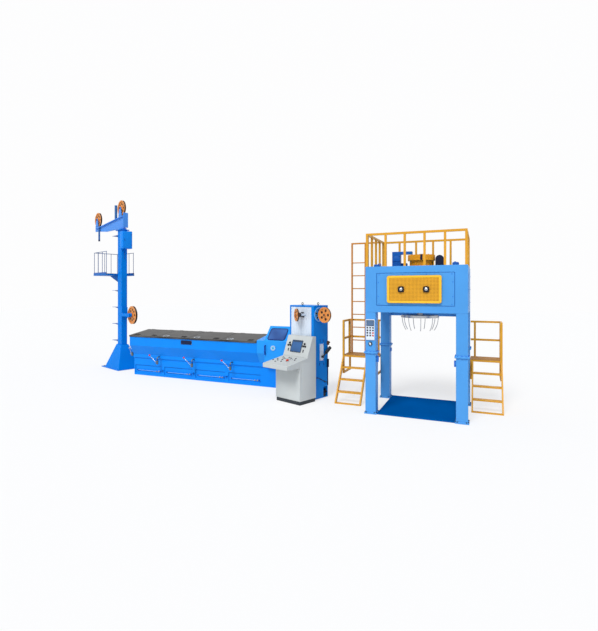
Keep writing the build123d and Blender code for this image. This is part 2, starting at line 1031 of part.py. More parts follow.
def hood_fittings():
    """The round disc on the hood's front and the bow handle at its left edge."""
    x = hood_left + hood_disc_inset
    z = hood_disc_height
    disc = rod((x, upper_front - hood_disc_thickness, z), (x, upper_front, z), hood_disc_radius)
    bar = hood_handle_bar
    left = hood_left + bar
    bottom = hood_handle_bottom
    face = upper_front - hood_handle_depth
    upright = block(left, left + bar, face, face + bar, bottom, bottom + hood_handle_height)
    low = block(left, left + bar, face + bar, upper_front, bottom, bottom + bar)
    high = block(
        left,
        left + bar,
        face + bar,
        upper_front,
        bottom + hood_handle_height - bar,
        bottom + hood_handle_height,
    )
    return group([disc, fused([upright, low, high])])


# Dancer cabinet, drawn with its front right foot corner at the frame's origin
cabinet_place = Pos(cabinet_corner_x, cabinet_corner_y, 0) * Rot(0, 0, cabinet_yaw)
bright_left = -cabinet_width + cabinet_frame
bright_right = -cabinet_stile
bright_face = cabinet_panel_recess - panel_thickness
bright_bottom = cabinet_panel_bottom
bright_top = cabinet_height - cabinet_frame
front_half_hub = front_wheel_radius * wheel_hub_width_share / 2
side_half_hub = side_wheel_radius * wheel_hub_width_share / 2
front_wheel_place = Pos(-front_wheel_inset, -front_wheel_reach, front_wheel_height)
front_wheel_place = front_wheel_place * Rot(0, 0, -front_wheel_turn_angle)


def side_disc():
    """The dished disc that carries the side wheel's arm."""
    y = side_disc_setback
    z = side_wheel_height
    disc = rod((0, y, z), (side_disc_thickness, y, z), side_disc_radius)
    floor = side_disc_thickness / 2
    inner = side_disc_radius - side_disc_rim
    return disc - rod((floor, y, z), (side_disc_thickness + overrun, y, z), inner)


def dancer_cabinet():
    """The cabinet, the disc on its side and the niche for the motor."""
    body = block(-cabinet_width, 0, 0, cabinet_depth, 0, cabinet_height)
    recess = block(bright_left, bright_right, -overrun, cabinet_panel_recess, bright_bottom, bright_top)
    back = cabinet_depth - motor_niche_margin
    niche = block(
        -motor_niche_depth,
        overrun,
        back - motor_niche_length,
        back,
        motor_niche_margin,
        motor_niche_margin + motor_niche_height,
    )
    return body - recess - niche + side_disc()


def dancer_panel():
    """The bright front panel with its upright guide grooves."""
    panel = block(bright_left, bright_right, bright_face, cabinet_panel_recess, bright_bottom, bright_top)
    pitch = (bright_right - bright_left) / (panel_groove_count + 1)
    for i in range(panel_groove_count):
        x = bright_left + pitch * (i + 1)
        panel = panel - block(
            x,
            x + panel_groove_width,
            bright_face - overrun,
            bright_face + panel_groove_depth,
            bright_bottom - overrun,
            bright_top + overrun,
        )
    return panel


def lifting_eye(x, y):
    stem = rod((x, y, cabinet_height), (x, y, cabinet_height + eye_stem), eye_wire * 2)
    loop = Pos(x, y, cabinet_height + eye_stem + eye_radius) * Rot(90, 0, 0) * Torus(eye_radius, eye_wire)
    return stem + loop


def lifting_eyes():
    front = lifting_eye(-cabinet_width / 2, cabinet_frame)
    side = lifting_eye(-cabinet_frame, cabinet_depth * side_eye_share)
    return group([front, side])


def front_wheel_mount():
    """A round arm out of the bright panel, with a bearing housing and the front axle."""
    near = front_half_hub + running_gap
    reach = front_wheel_reach + cabinet_depth / 2
    axle = rod((0, -near, 0), (0, near, 0), dancer_axle_radius)
    housing = rod((0, near, 0), (0, near + front_housing_length, 0), front_housing_radius)
    arm = rod((0, near, 0), (0, reach, 0), dancer_arm_section / 2)
    behind = block(-cabinet_width, 0, bright_face, cabinet_depth, 0, cabinet_height)
    return front_wheel_place * fused([arm, housing, axle]) - behind


def side_wheel_mount():
    """An arm out of the cabinet's side, with the side wheel's axle at its end."""
    half = dancer_arm_section / 2
    z = side_wheel_height
    near = side_wheel_setback + side_half_hub + running_gap
    start = side_disc_thickness / 2
    arm = block(start, side_wheel_reach + half, near, near + dancer_arm_section, z - half, z + half)
    far = side_wheel_setback - side_half_hub - running_gap
    axle = rod((side_wheel_reach, far, z), (side_wheel_reach, near, z), dancer_axle_radius)
    return arm + axle


def slot_plate():
    """The bright slotted plate on the cabinet's right side."""
    y = cabinet_depth * slot_plate_place_share
    half = slot_plate_width / 2
    top = slot_plate_bottom + slot_plate_height
    body = block(0, slot_plate_thickness, y - half, y + half, slot_plate_bottom, top)
    slot = block(
        slot_plate_thickness / 2,
        slot_plate_thickness + overrun,
        y - slot_width / 2,
        y + slot_width / 2,
        slot_plate_bottom + slot_width,
        top - slot_width,
    )
    return body - slot


def side_damper():
    """The air cylinder that leans back and up from the slotted plate."""
    y = cabinet_depth * slot_plate_place_share
    x = slot_plate_thickness + damper_radius
    low = Vector(x, y, damper_low_height)
    high = Vector(x, y + damper_run, damper_high_height)
    joint = low + (high - low) * damper_rod_share
    rod_part = rod(low, joint, damper_rod_radius)
    barrel = rod(joint, high, damper_radius)
    half = slot_width / 2 - split_gap
    foot = block(
        slot_plate_thickness / 2,
        x + damper_rod_radius,
        y - half,
        y + half,
        damper_low_height - damper_rod_radius * 2,
        damper_low_height + damper_rod_radius,
    )
    lug_y = joint.Y + (high.Y - joint.Y) / 2
    lug_z = joint.Z + (high.Z - joint.Z) / 2
    lug = block(0, x, lug_y - damper_rod_radius, lug_y + damper_rod_radius, lug_z - damper_radius, lug_z)
    return fused([rod_part, barrel, foot, lug])


def cabinet_motor():
    """The dark motor in the niche by the cabinet's foot."""
    x = -motor_niche_depth / 2
    front = cabinet_depth - motor_niche_length
    back = cabinet_depth - motor_niche_margin * 2
    z = motor_niche_margin + motor_niche_height / 2
    radius = cabinet_motor_radius
    motor = rod((x, front, z), (x, back, z), radius)
    foot = block(x - radius / 2, x + radius / 2, front + plate, back - plate, motor_niche_margin, z)
    return motor + foot


# Console, drawn with its front right foot corner at the frame's origin
console_place = Pos(console_offset_x, console_offset_y, 0) * Pos(cabinet_corner_x, cabinet_corner_y, 0)
console_place = console_place * Rot(0, 0, cabinet_yaw)
console_slope_back = console_depth - console_top_depth
desk_top = desk_bottom + desk_front_height
desk_rise_share = desk_reach / (desk_reach + console_knee_setback)
desk_back_top = desk_top + (console_knee_height - desk_top) * desk_rise_share


def console_plinth_node():
    inset = console_plinth_inset
    left = -console_width + inset
    return console_place * block(left, -inset, inset, console_depth - inset, 0, console_plinth)


def console_body():
    """Cabinet with an upright front, a desk top and a screen panel that leans back."""
    outline = [
        (0, console_plinth),
        (0, desk_back_top),
        (console_knee_setback, console_knee_height),
        (console_slope_back, console_height),
        (console_depth, console_height),
        (console_depth, console_plinth),
    ]
    return console_place * prism_along_x(outline, -console_width, 0)


def console_desk():
    """The button desk in front of the body, on its sloping gusset."""
    outline = [
        (0, desk_bottom),
        (-desk_reach, desk_bottom),
        (-desk_reach, desk_top),
        (0, desk_back_top),
    ]
    desk = prism_along_x(outline, -console_width, 0)
    gusset_outline = [
        (0, desk_bottom),
        (0, desk_bottom - desk_gusset_height),
        (-desk_reach + desk_gusset_inset, desk_bottom),
    ]
    gusset = prism_along_x(gusset_outline, -console_width + desk_gusset_inset, -desk_gusset_inset)
    return console_place * (desk + gusset)


def console_screen():
    rise = console_height - console_knee_height
    run = console_slope_back - console_knee_setback
    lean = math.degrees(math.atan2(rise, run))
    pane = RectangleRounded(screen_width, screen_height, screen_thickness)
    x = -console_width * screen_place_share
    middle = Pos(x, console_knee_setback + run / 2, console_knee_height + rise / 2)
    return console_place * middle * Rot(lean, 0, 0) * extrude(pane, amount=screen_thickness)


# Coiler gantry
def gantry_column(left, front):
    right = left + column_width
    back = front + column_depth
    margin = column_foot_margin
    body = block(left, right, front, back, 0, head_bottom)
    foot = block(left - margin, right + margin, front - margin, back + margin, 0, column_foot)
    splice = block(
        left - splice_margin,
        right + splice_margin,
        front - splice_margin,
        back + splice_margin,
        splice_height - splice_thickness / 2,
        splice_height + splice_thickness / 2,
    )
    return fused([body, foot, splice])


def gantry_columns(front):
    return group([gantry_column(gantry_left, front), gantry_column(gantry_right - column_width, front)])


def gantry_head():
    """The closed housing over the passage, with a lip under its back edge."""
    body = block(gantry_left, gantry_right, gantry_front, gantry_back, head_bottom, head_top)
    x = ring_x
    y = ring_y
    socket = rod(
        (x, y, head_bottom - overrun),
        (x, y, head_bottom + rotor_shaft_length + running_gap),
        rotor_shaft_radius + pin_clearance,
    )
    return body - socket - head_groove()


def head_groove():
    """The narrow groove round the panel on the housing's front."""
    left = gantry_left + head_panel_side
    right = gantry_right - head_panel_side
    bottom = head_bottom + head_panel_margin
    top = head_top - head_panel_margin
    width = head_panel_groove
    front = gantry_front - overrun
    back = gantry_front + width
    outer = block(left, right, front, back, bottom, top)
    return outer - block(left + width, right - width, front, back, bottom + width, top - width)


def head_lip_bar():
    """The dark lip under the housing's back edge, between the columns."""
    left = gantry_left + column_width + split_gap
    right = gantry_right - column_width - split_gap
    back = gantry_back - head_lip_inset
    return block(left, right, back - head_lip_inset, back, head_bottom - head_lip, head_bottom)


def gantry_floor():
    left = gantry_left + column_width + column_foot_margin
    right = gantry_right - column_width - column_foot_margin
    return block(left, right, gantry_front + column_foot_margin, gantry_back, 0, floor_thickness)


ring_x = gantry_left + gantry_width * ring_place_share
ring_y = (gantry_front + gantry_back) / 2


def gantry_cover():
    """The rounded cover on the fascia with its two knobs."""
    x = gantry_left + gantry_width * cover_place_share
    z = (head_bottom + head_top) / 2
    face = RectangleRounded(cover_width, cover_height, cover_radius)
    cover = Pos(x, gantry_front, z) * Rot(90, 0, 0) * extrude(face, amount=cover_thickness)
    front = gantry_front - cover_thickness
    pieces = [cover]
    for side in (-1, 1):
        knob_x = x + side * cover_width * cover_knob_share
        pieces.append(rod((knob_x, front - cover_knob_depth, z), (knob_x, front, z), cover_knob_radius))
    return fused(pieces)


def laying_ring():
    """The rotor's ring under the housing, its disc and its shaft."""
    top = head_bottom - ring_drop
    bottom = top - ring_height
    inner = ring_radius - ring_lip
    outline = [
        (0, top),
        (0, bottom + ring_lip),
        (inner, bottom + ring_lip),
        (inner, bottom),
        (ring_radius, bottom),
        (ring_radius, top),
    ]
    ring = revolve(Plane.XZ * make_face(Polyline(*outline, close=True)), Axis.Z)
    shaft = rod((0, 0, top), (0, 0, head_bottom + rotor_shaft_length), rotor_shaft_radius)
    return Pos(ring_x, ring_y, 0) * (ring + shaft)


def laying_finger(index):
    """A thin rod that hangs from the ring and curves in at its foot."""
    bottom = head_bottom - ring_drop - ring_height
    radius = ring_radius - ring_lip / 2
    foot = (radius - finger_lean, bottom - finger_drop)
    path = Plane.XZ * TangentArc((radius, bottom), foot, tangent=(0, -1))
    section = Plane(origin=path @ 0, z_dir=path % 0) * Circle(finger_radius)
    finger = sweep(section, path=path)
    return Pos(ring_x, ring_y, 0) * Rot(0, 0, 360 * index / finger_count) * finger


def laying_fingers():
    return group([laying_finger(i) for i in range(finger_count)])


def operator_panel():
    """The keypad case on the left column and the round switch below it."""
    x = gantry_left + column_width / 2
    half = panel_width / 2
    face = gantry_front - panel_depth
    case = block(x - half, x + half, face, gantry_front, panel_bottom, panel_bottom + panel_height)
    z = panel_bottom - switch_drop
    switch = rod((x, face, z), (x, gantry_front, z), switch_radius)
    return group([case, switch])


# Roof walkway
def rail_frame(first, last, fixed, along_x, bays):
    """Posts on the roof with one rail on top, along X or along Y."""
    half = tube / 2
    top = roof_rail_top
    step = (last - first - tube) / bays
    pieces = []
    for i in range(bays + 1):
        place = first + step * i
        span = (place, place + tube, fixed - half, fixed + half)
        if not along_x:
            span = (fixed - half, fixed + half, place, place + tube)
        pieces.append(block(*span, head_top, top - tube))
    span = (first, last, fixed - half, fixed + half)
    if not along_x:
        span = (fixed - half, fixed + half, first, last)
    pieces.append(block(*span, top - tube, top))
    return fused(pieces)


def roof_rail_front():
    y = gantry_front + roof_rail_inset + tube / 2
    left = gantry_left + roof_rail_inset
    right = gantry_right - roof_rail_inset
    return rail_frame(left, right, y, True, roof_front_bays)


def roof_rail_back():
    y = gantry_back - roof_rail_inset - tube / 2
    left = gantry_left + roof_rail_inset
    right = gantry_right - roof_rail_inset
    return rail_frame(left, right, y, True, roof_front_bays)


def roof_rail_sides():
    near = gantry_front + roof_rail_inset + tube + split_gap
    far = gantry_back - roof_rail_inset - tube - split_gap
    inset = roof_rail_inset + tube / 2
    sides = []
    for x in (gantry_left + inset, gantry_right - inset):
        sides.append(rail_frame(near, far, x, False, roof_side_bays))
    return group(sides)


drum_x = gantry_left + gantry_width * drum_x_share
drum_y = gantry_front + gantry_depth * drum_y_share


def roof_drum():
    """The belt drum on the roof."""
    bottom = head_top + drum_base_height
    return rod((drum_x, drum_y, bottom), (drum_x, drum_y, bottom + drum_height), drum_radius)


def roof_drive():
    """The dark drive under the drum and the gear motor beside it."""
    bottom = head_top + drum_base_height
    base = rod((drum_x, drum_y, head_top), (drum_x, drum_y, bottom), drum_base_radius)
    x = drum_x + drum_radius + gear_motor_radius + plate
    half = gear_motor_length / 2
    z = head_top + gear_motor_base
    motor = rod((x, drum_y - half, z), (x, drum_y + half, z), gear_motor_radius)
    foot = block(x - gear_motor_radius, x + gear_motor_radius, drum_y - half, drum_y + half, head_top, z)
    return group([base, motor + foot])


def roof_arm():
    """The upright beside the drum and the arm that reaches over it."""
    left = gantry_left + arm_post_place
    right = left + arm_post_width
    half = arm_post_depth / 2
    top = head_top + arm_post_height
    post = block(left, right, drum_y - half, drum_y + half, head_top, top)
    arm = block(right, right + arm_length, drum_y - arm_height, drum_y + arm_height, top - arm_height, top)
    return post + arm


# Platforms beside the gantry
def platform(inner, outer, front):
    """A deck on a frame whose legs reach down to the head of the stair."""
    left = min(inner, outer)
    right = max(inner, outer)
    back = front + platform_depth
    under = platform_top - platform_deck
    deck = block(left, right, front, back, under, platform_top)
    low = under - platform_leg_drop
    legs = []
    for x in (left, right - tube):
        for y in (front, back - tube):
            legs.append(block(x, x + tube, y, y + tube, low, under))
    rails = []
    for x in (left, right - tube):
        rails.append(block(x, x + tube, front + tube, back - tube, low, low + tube))
    return fused([deck] + legs + rails)


def side_rails(outer_face, inner_face, front):
    """Guard rails along the platform's outer side and along its back."""
    sign = 1 if outer_face > inner_face else -1
    x = outer_face - sign * tube / 2
    back = front + platform_depth
    half = tube / 2
    top = platform_top + side_rail_height
    mid = platform_top + side_rail_height / 2
    outer = []
    for y in (front, back - tube * 2):
        outer.append(block(x - half, x + half, y, y + tube, platform_top, top - tube))
    for z in (top - tube, mid - tube):
        outer.append(block(x - half, x + half, front, back - tube - split_gap, z, z + tube))
    left = min(inner_face, outer_face)
    right = max(inner_face, outer_face)
    back_rail = []
    inset = splice_margin + tube
    posts = (left + inset, right - tube) if sign > 0 else (left, right - tube - inset)
    for place in posts:
        back_rail.append(block(place, place + tube, back - tube, back, platform_top, top - tube))
    for z in (top - tube, mid - tube):
        back_rail.append(block(left, right, back - tube, back, z, z + tube))
    return group([fused(outer), fused(back_rail)])


def stair(left, right, front):
    """Two stringers and the treads between them, from the deck down to the floor."""
    top = platform_top - platform_deck
    foot = front - stair_run
    pieces = []
    outline = [
        (front, top),
        (front, top - stringer_depth * 2),
        (foot + stringer_depth, 0),
        (foot, 0),
        (foot, stringer_depth / 2),
    ]
    for x in (left, right - stringer_thickness):
        pieces.append(prism_along_x(outline, x, x + stringer_thickness))
    rise = platform_top / tread_count
    for i in range(tread_count - 1):
        height = rise * (i + 1)
        share = height / platform_top
        y = foot + stair_run * share
        pieces.append(
            block(
                left + stringer_thickness,
                right - stringer_thickness,
                y - tread_depth / 2 + stringer_depth / 2,
                y + tread_depth / 2 + stringer_depth / 2,
                height - tread_thickness,
                height,
            )
        )
    return fused(pieces)


left_outer = gantry_left - platform_width_left
right_outer = gantry_right + platform_width_right


def roof_ladder():
    """Two stiles and their rungs, from the left deck to the roof's back rail."""
    left = left_outer + ladder_place
    y = gantry_back - tube * 2 - ladder_tube
    right = left + ladder_width
    half = ladder_tube / 2
    pieces = []
    for x in (left, right):
        pieces.append(block(x - half, x + half, y - half, y + half, platform_top, roof_rail_top))
    reach = gantry_left + roof_rail_inset
    pieces.append(block(left + half, reach, y - half, y + half, roof_rail_top - ladder_tube, roof_rail_top))
    count = int((roof_rail_top - platform_top) / rung_spacing)
    for i in range(1, count):
        z = platform_top + rung_spacing * i
        pieces.append(rod((left, y, z), (right, y, z), rung_radius))
    return fused(pieces)


# Every node of the row, by name
def tower_nodes():
    nodes = {
        "tower_base": tower_base(),
        "tower_mast": tower_mast(),
        "tower_steps": tower_steps(),
        "tower_platform": tower_platform(),
        "tower_railing": group([tower_rail_side(1), tower_rail_side(-1), tower_rail_end()]),
        "tower_box": tower_box(),
        "tower_wheel_arm": tower_wheel_arm(),
        "jib_beam": jib_beam(),
        "jib_forks": group([jib_fork(root_wheel_place), jib_fork(tip_wheel_place)]),
        "jib_post_and_guide": jib_post_and_guide(),
    }
    bore = tower_axle_radius + pin_clearance
    nodes["tower_low_wheel"] = sheave_on_y(-low_wheel_reach, low_wheel_height, low_wheel_radius, bore)
    for name, x in (("jib_root_wheel", root_wheel_place), ("jib_tip_wheel", tip_wheel_place)):
        centre = jib_top(x) + wheel_rise
        nodes[name] = sheave_on_y(x, centre, jib_wheel_radius, bore)
    return {name: tower_place * shape for name, shape in nodes.items()}


def machine_nodes():
    nodes = {
        "machine_base": machine_base(),
        "hatch_covers": group([hatch_covers(), hatch_knobs()]),
        "tank_side_walls": group([tank_front_wall(), gear_housing()]),
        "tank_partitions": tank_partitions(),
        "drawing_capstans": capstans(),
        "die_holders": die_holders(),
        "lid_hinges": lid_hinges(),
        "nameplate": nameplate(),
        "valve_bodies": valve_bodies(),
        "hood": hood(),
        "hood_window": hood_window(),
        "hood_fittings": hood_fittings(),
    }
    for i in range(bay_count):
        nodes[f"lid_{i + 1}"] = lid(i)
    places = valve_frames()
    for i, place in enumerate(places[:-1]):
        nodes[f"valve_lever_{i + 1}"] = place * valve_lever(-1, lever_rest_angle, lever_length)
    end_lever = valve_lever(1, end_lever_rest_angle, end_lever_length)
    nodes[f"valve_lever_{len(places)}"] = places[-1] * end_lever
    return nodes


def cabinet_nodes():
    bore = dancer_axle_radius + pin_clearance
    upright = Rot(90, 0, 0)
    front = front_wheel_place * upright
    side = Pos(side_wheel_reach, side_wheel_setback, side_wheel_height) * upright
    nodes = {
        "dancer_cabinet": dancer_cabinet(),
        "dancer_panels": group([dancer_panel(), slot_plate()]),
        "cabinet_fittings": group([lifting_eyes(), front_wheel_mount(), side_wheel_mount()]),
        "cabinet_actuators": group([side_damper(), cabinet_motor()]),
    }
    for name, place, radius in (
        ("dancer_front_wheel", front, front_wheel_radius),
        ("dancer_side_wheel", side, side_wheel_radius),
    ):
        nodes[name] = place * wheel(radius, bore, dancer_hole_count, dancer_hole_share)
    nodes = {name: cabinet_place * shape for name, shape in nodes.items()}
    nodes["console_plinth"] = console_plinth_node()
    nodes["console_body"] = console_body()
    nodes["console_desk"] = console_desk()
    nodes["console_screen"] = console_screen()
    return nodes


def gantry_nodes():
    left_front = platform_left_front
    right_front = platform_right_front
    return {
        "gantry_front_columns": gantry_columns(gantry_front),
        "gantry_back_columns": group([gantry_columns(gantry_back - column_depth), head_lip_bar()]),
        "gantry_head": gantry_head(),
        "gantry_floor": gantry_floor(),
        "gantry_cover": gantry_cover(),
        "laying_ring": laying_ring(),
        "laying_fingers": laying_fingers(),
        "operator_panel": operator_panel(),
        "roof_railing": group([roof_rail_front(), roof_rail_back(), roof_rail_sides()]),
        "roof_drum": roof_drum(),
        "roof_drive": roof_drive(),
        "roof_arm": roof_arm(),
        "roof_ladder": roof_ladder(),
        "side_platforms": group(
            [
                platform(gantry_left, left_outer, left_front),
                platform(gantry_right, right_outer, right_front),
            ]
        ),
        "side_platform_rails": group(
            [
                side_rails(left_outer, gantry_left, left_front),
                side_rails(right_outer, gantry_right, right_front),
            ]
        ),
        "side_stairs": group(
            [
                stair(left_outer, left_outer + stair_width_left, left_front),
                stair(right_outer - stair_width_right, right_outer, right_front),
            ]
        ),
    }


for nodes in (tower_nodes(), machine_nodes(), cabinet_nodes(), gantry_nodes()):
    for name, shape in nodes.items():
        export_step(shape, f"parts/{name}.step")
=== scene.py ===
import json
import math

import bmesh
import bpy
from mathutils import Matrix, Vector

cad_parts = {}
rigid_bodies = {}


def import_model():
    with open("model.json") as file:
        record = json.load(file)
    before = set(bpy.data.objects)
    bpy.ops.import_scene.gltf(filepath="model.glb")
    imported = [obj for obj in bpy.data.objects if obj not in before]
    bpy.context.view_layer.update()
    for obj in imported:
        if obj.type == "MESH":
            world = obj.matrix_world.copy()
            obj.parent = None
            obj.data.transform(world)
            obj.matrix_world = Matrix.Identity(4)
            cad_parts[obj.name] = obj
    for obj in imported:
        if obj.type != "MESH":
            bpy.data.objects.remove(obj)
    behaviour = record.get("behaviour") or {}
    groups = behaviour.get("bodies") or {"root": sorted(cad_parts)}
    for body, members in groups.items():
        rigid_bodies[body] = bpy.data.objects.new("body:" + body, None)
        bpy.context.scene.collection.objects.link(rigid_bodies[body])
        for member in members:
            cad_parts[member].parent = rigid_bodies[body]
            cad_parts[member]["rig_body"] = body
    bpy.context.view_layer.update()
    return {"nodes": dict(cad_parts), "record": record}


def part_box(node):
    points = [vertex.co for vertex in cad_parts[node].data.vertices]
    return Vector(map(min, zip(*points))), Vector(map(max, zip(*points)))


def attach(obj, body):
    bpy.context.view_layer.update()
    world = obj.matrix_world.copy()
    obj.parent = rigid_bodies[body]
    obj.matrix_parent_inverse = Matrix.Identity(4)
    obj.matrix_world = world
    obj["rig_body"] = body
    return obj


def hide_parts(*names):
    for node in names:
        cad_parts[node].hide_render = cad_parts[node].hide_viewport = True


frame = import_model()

slots = {subpart["node"]: subpart["material_slot"] for subpart in frame["record"]["subparts"]}

# Places and directions
RIGHT, BACK, LEFT, FORWARD = (1, 0, 0), (0, 1, 0), (-1, 0, 0), (0, -1, 0)


def at(x, y, z=0.0):
    return Matrix.Translation((x, y, z))


def tilt(angle, axis):
    return Matrix.Rotation(math.radians(angle), 4, axis)


def face(origin, right, up=(0, 0, 1)):
    """A surface to build on: X to its right, Y up it, Z out of it."""
    x = Vector(right).normalized()
    y = Vector(up).normalized()
    place = Matrix((x, y, x.cross(y))).transposed().to_4x4()
    place.translation = origin
    return place


def slope_face(origin, rise):
    """A surface that leans back, at an angle above level."""
    return face(origin, RIGHT, (0, math.cos(rise), math.sin(rise)))


def row(count, first, last):
    """Evenly spaced places from first to last."""
    return [first + (last - first) * i / (count - 1) for i in range(count)]


def new_object(name, data):
    """Adds a mesh, curve, lamp or camera to the scene."""
    made = bpy.data.objects.new(name, data)
    bpy.context.collection.objects.link(made)
    return made


def mesh_of(name, bm):
    """Turns a finished bmesh into a mesh."""
    mesh = bpy.data.meshes.new(name)
    bm.to_mesh(mesh)
    bm.free()
    return mesh


# Camera at the photograph's angle
CAMERA_PLACE = (8.392, -12.25, 2.86)
CAMERA_TURN = math.radians(23)
FOCAL_PIXELS = 430
FRAME_HEIGHT = 631
HORIZON_PIXEL = 292
SENSOR = 36.0
FAR_CLIP = 200


def add_camera():
    data = bpy.data.cameras.new("camera")
    data.sensor_width = SENSOR
    data.lens = FOCAL_PIXELS * SENSOR / FRAME_HEIGHT
    data.shift_y = (HORIZON_PIXEL - FRAME_HEIGHT / 2) / FRAME_HEIGHT
    data.clip_end = FAR_CLIP
    camera = new_object("camera", data)
    camera.location = CAMERA_PLACE
    camera.rotation_euler = (math.radians(90), 0, CAMERA_TURN)
    bpy.context.scene.camera = camera


# Nodes of the studio and the materials
def feed(tree, socket, value):
    """Sets a socket to a plain value, or links another node's output to it."""
    if isinstance(value, bpy.types.NodeSocket):
        tree.links.new(value, socket)
    else:
        socket.default_value = value


def node_of(tree, kind, inputs, output=0, **settings):
    """Adds a node with its settings and inputs, and gives one of its outputs."""
    node = tree.nodes.new("ShaderNode" + kind)
    for name, value in settings.items():
        setattr(node, name, value)
    for name, value in inputs.items():
        feed(tree, node.inputs[name], value)
    return node.outputs[output]


# Studio light, backdrop and floor
SKY_STRENGTH, KEY_STRENGTH, FILL_STRENGTH = 0.5, 2.3, 0.45
SKY_COLOUR = (0.93, 0.96, 1.0, 1)
BACKDROP_COLOUR = (0.985, 0.985, 0.99, 1)
FLOOR_COLOUR = (0.9, 0.9, 0.9, 1)
FLOOR_SIZE = 120.0
FLOOR_DROP = 0.002
FLOOR_GLOW = 0.62


def add_sun(name, strength, turn, height, softness):
    """A soft sun that shines from a compass turn and a height, both in degrees."""
    data = bpy.data.lights.new(name, "SUN")
    data.energy = strength
    data.angle = math.radians(softness)
    lamp = new_object(name, data)
    lamp.rotation_euler = (math.radians(90 - height), 0, math.radians(turn))


def seen_directly(tree):
    """1 for camera, glossy and transmission rays, 0 for the rays that light the object."""
    path = tree.nodes.new("ShaderNodeLightPath")
    rays = [path.outputs[name] for name in ("Is Camera Ray", "Is Glossy Ray", "Is Transmission Ray")]
    first = node_of(tree, "Math", {0: rays[0], 1: rays[1]}, operation="MAXIMUM")
    return node_of(tree, "Math", {0: first, 1: rays[2]}, operation="MAXIMUM")


def add_world():
    world = bpy.data.worlds.new("studio")
    bpy.context.scene.world = world
    world.use_nodes = True
    tree = world.node_tree
    tree.nodes.clear()
    lighting = node_of(tree, "Background", {"Color": SKY_COLOUR, "Strength": SKY_STRENGTH})
    backdrop = node_of(tree, "Background", {"Color": BACKDROP_COLOUR})
    mix = node_of(tree, "MixShader", {0: seen_directly(tree), 1: lighting, 2: backdrop})
    feed(tree, tree.nodes.new("ShaderNodeOutputWorld").inputs["Surface"], mix)


def add_floor():
    bm = bmesh.new()
    bmesh.ops.create_grid(bm, x_segments=1, y_segments=1, size=FLOOR_SIZE / 2)
    floor = new_object("floor", mesh_of("floor", bm))
    floor.location = (0, 0, -FLOOR_DROP)
    material = bpy.data.materials.new("studio_floor")
    material.use_nodes = True
    tree = material.node_tree
    tree.nodes.clear()
    cloth = node_of(tree, "BsdfDiffuse", {"Color": FLOOR_COLOUR})
    glow = node_of(tree, "Emission", {"Color": BACKDROP_COLOUR})
    share = node_of(tree, "Math", {0: seen_directly(tree), 1: FLOOR_GLOW}, operation="MULTIPLY")
    mix = node_of(tree, "MixShader", {0: share, 1: cloth, 2: glow})
    feed(tree, tree.nodes.new("ShaderNodeOutputMaterial").inputs["Surface"], mix)
    floor.data.materials.append(material)


# Materials
def linear(red, green, blue):
    """A screen colour of 0 to 255 as scene light."""
    def channel(value):
        value = value / 255
        return value / 12.92 if value <= 0.04045 else ((value + 0.055) / 1.055) ** 2.4
    return (channel(red), channel(green), channel(blue), 1)


def scaled(colour, factor):
    return tuple(min(1.0, channel * factor) for channel in colour[:3]) + (1,)


class Finish:
    """A material in the making: its nodes, its shader and the piece's own coordinates."""

    def __init__(self, name):
        self.material = bpy.data.materials.new(name)
        self.material.use_nodes = True
        self.tree = self.material.node_tree
        self.shader = self.tree.nodes["Principled BSDF"]
        self.coords = self.node("TexCoord", {}, "Object")

    def node(self, kind, inputs, output=0, **settings):
        return node_of(self.tree, kind, inputs, output, **settings)

    def shade(self, sockets):
        """Sets the shader's sockets, and gives the material."""
        for name, value in sockets.items():
            feed(self.tree, self.shader.inputs[name], value)
        return self.material

    def bump(self, height, strength, distance):
        inputs = {"Height": height, "Strength": strength, "Distance": distance}
        self.shade({"Normal": self.node("Bump", inputs, "Normal")})

    def orange_peel(self):
        self.bump(self.noise(240.0, 1.0), 0.1, 0.0006)

    def math(self, operation, first, second=0.0):
        return self.node("Math", {0: first, 1: second}, operation=operation)

    def above(self, value, limit):
        return self.math("GREATER_THAN", value, limit)

    def below(self, value, limit):
        return self.math("LESS_THAN", value, limit)

    def along(self, vector, axis):
        return self.node("SeparateXYZ", {0: vector}, axis)

    def length(self, vector):
        return self.node("VectorMath", {0: vector}, "Value", operation="LENGTH")

    def from_axis(self, vector):
        """How far a point lies from the Y axis."""
        flat = self.node("VectorMath", {0: vector, 1: (1, 0, 1)}, operation="MULTIPLY")
        return self.length(flat)

    def placed(self, centre, yaw=0.0):
        """Coordinates that start at a centre and turn with the station."""
        inputs = {"Vector": self.coords, "Location": centre, "Rotation": (0, 0, yaw)}
        return self.node("Mapping", inputs, vector_type="TEXTURE")

    def noise(self, scale, detail=3.0, stretch=None):
        coords = self.coords
        if stretch:
            coords = self.node("Mapping", {"Vector": coords, "Scale": stretch})
        return self.node("TexNoise", {"Vector": coords, "Scale": scale, "Detail": detail}, "Fac")

    def spread(self, value, low=0.0, high=1.0):
        """Maps a texture's middle range onto low to high."""
        limits = {"From Min": 0.3, "From Max": 0.7, "To Min": low, "To Max": high}
        return self.node("MapRange", {"Value": value, **limits}, "Result")

    def drift(self, scale, detail, low, high):
        """A value that wanders between low and high over the surface."""
        return self.spread(self.noise(scale, detail), low, high)

    def blend(self, share, first, second):
        """The first colour where the share is 0, the second where it is 1."""
        inputs = {"Factor": share, "A": first, "B": second}
        return self.node("Mix", inputs, "Result", data_type="RGBA")

    def clouds(self, scale, detail, first, second):
        """Two colours in soft patches."""
        return self.blend(self.drift(scale, detail, 0.0, 1.0), first, second)


def paint(name, colour, rough=0.38, shine=0.22):
    """Sprayed machine paint: a faint cloud in its colour and gloss, and a fine orange peel."""
    coat = Finish(name)
    coat.orange_peel()
    return coat.shade({
        "Base Color": coat.clouds(1.3, 3.0, scaled(colour, 0.9), colour),
        "Roughness": coat.drift(6.0, 5.0, rough - 0.06, rough + 0.08),
        "Specular IOR Level": shine,
    })


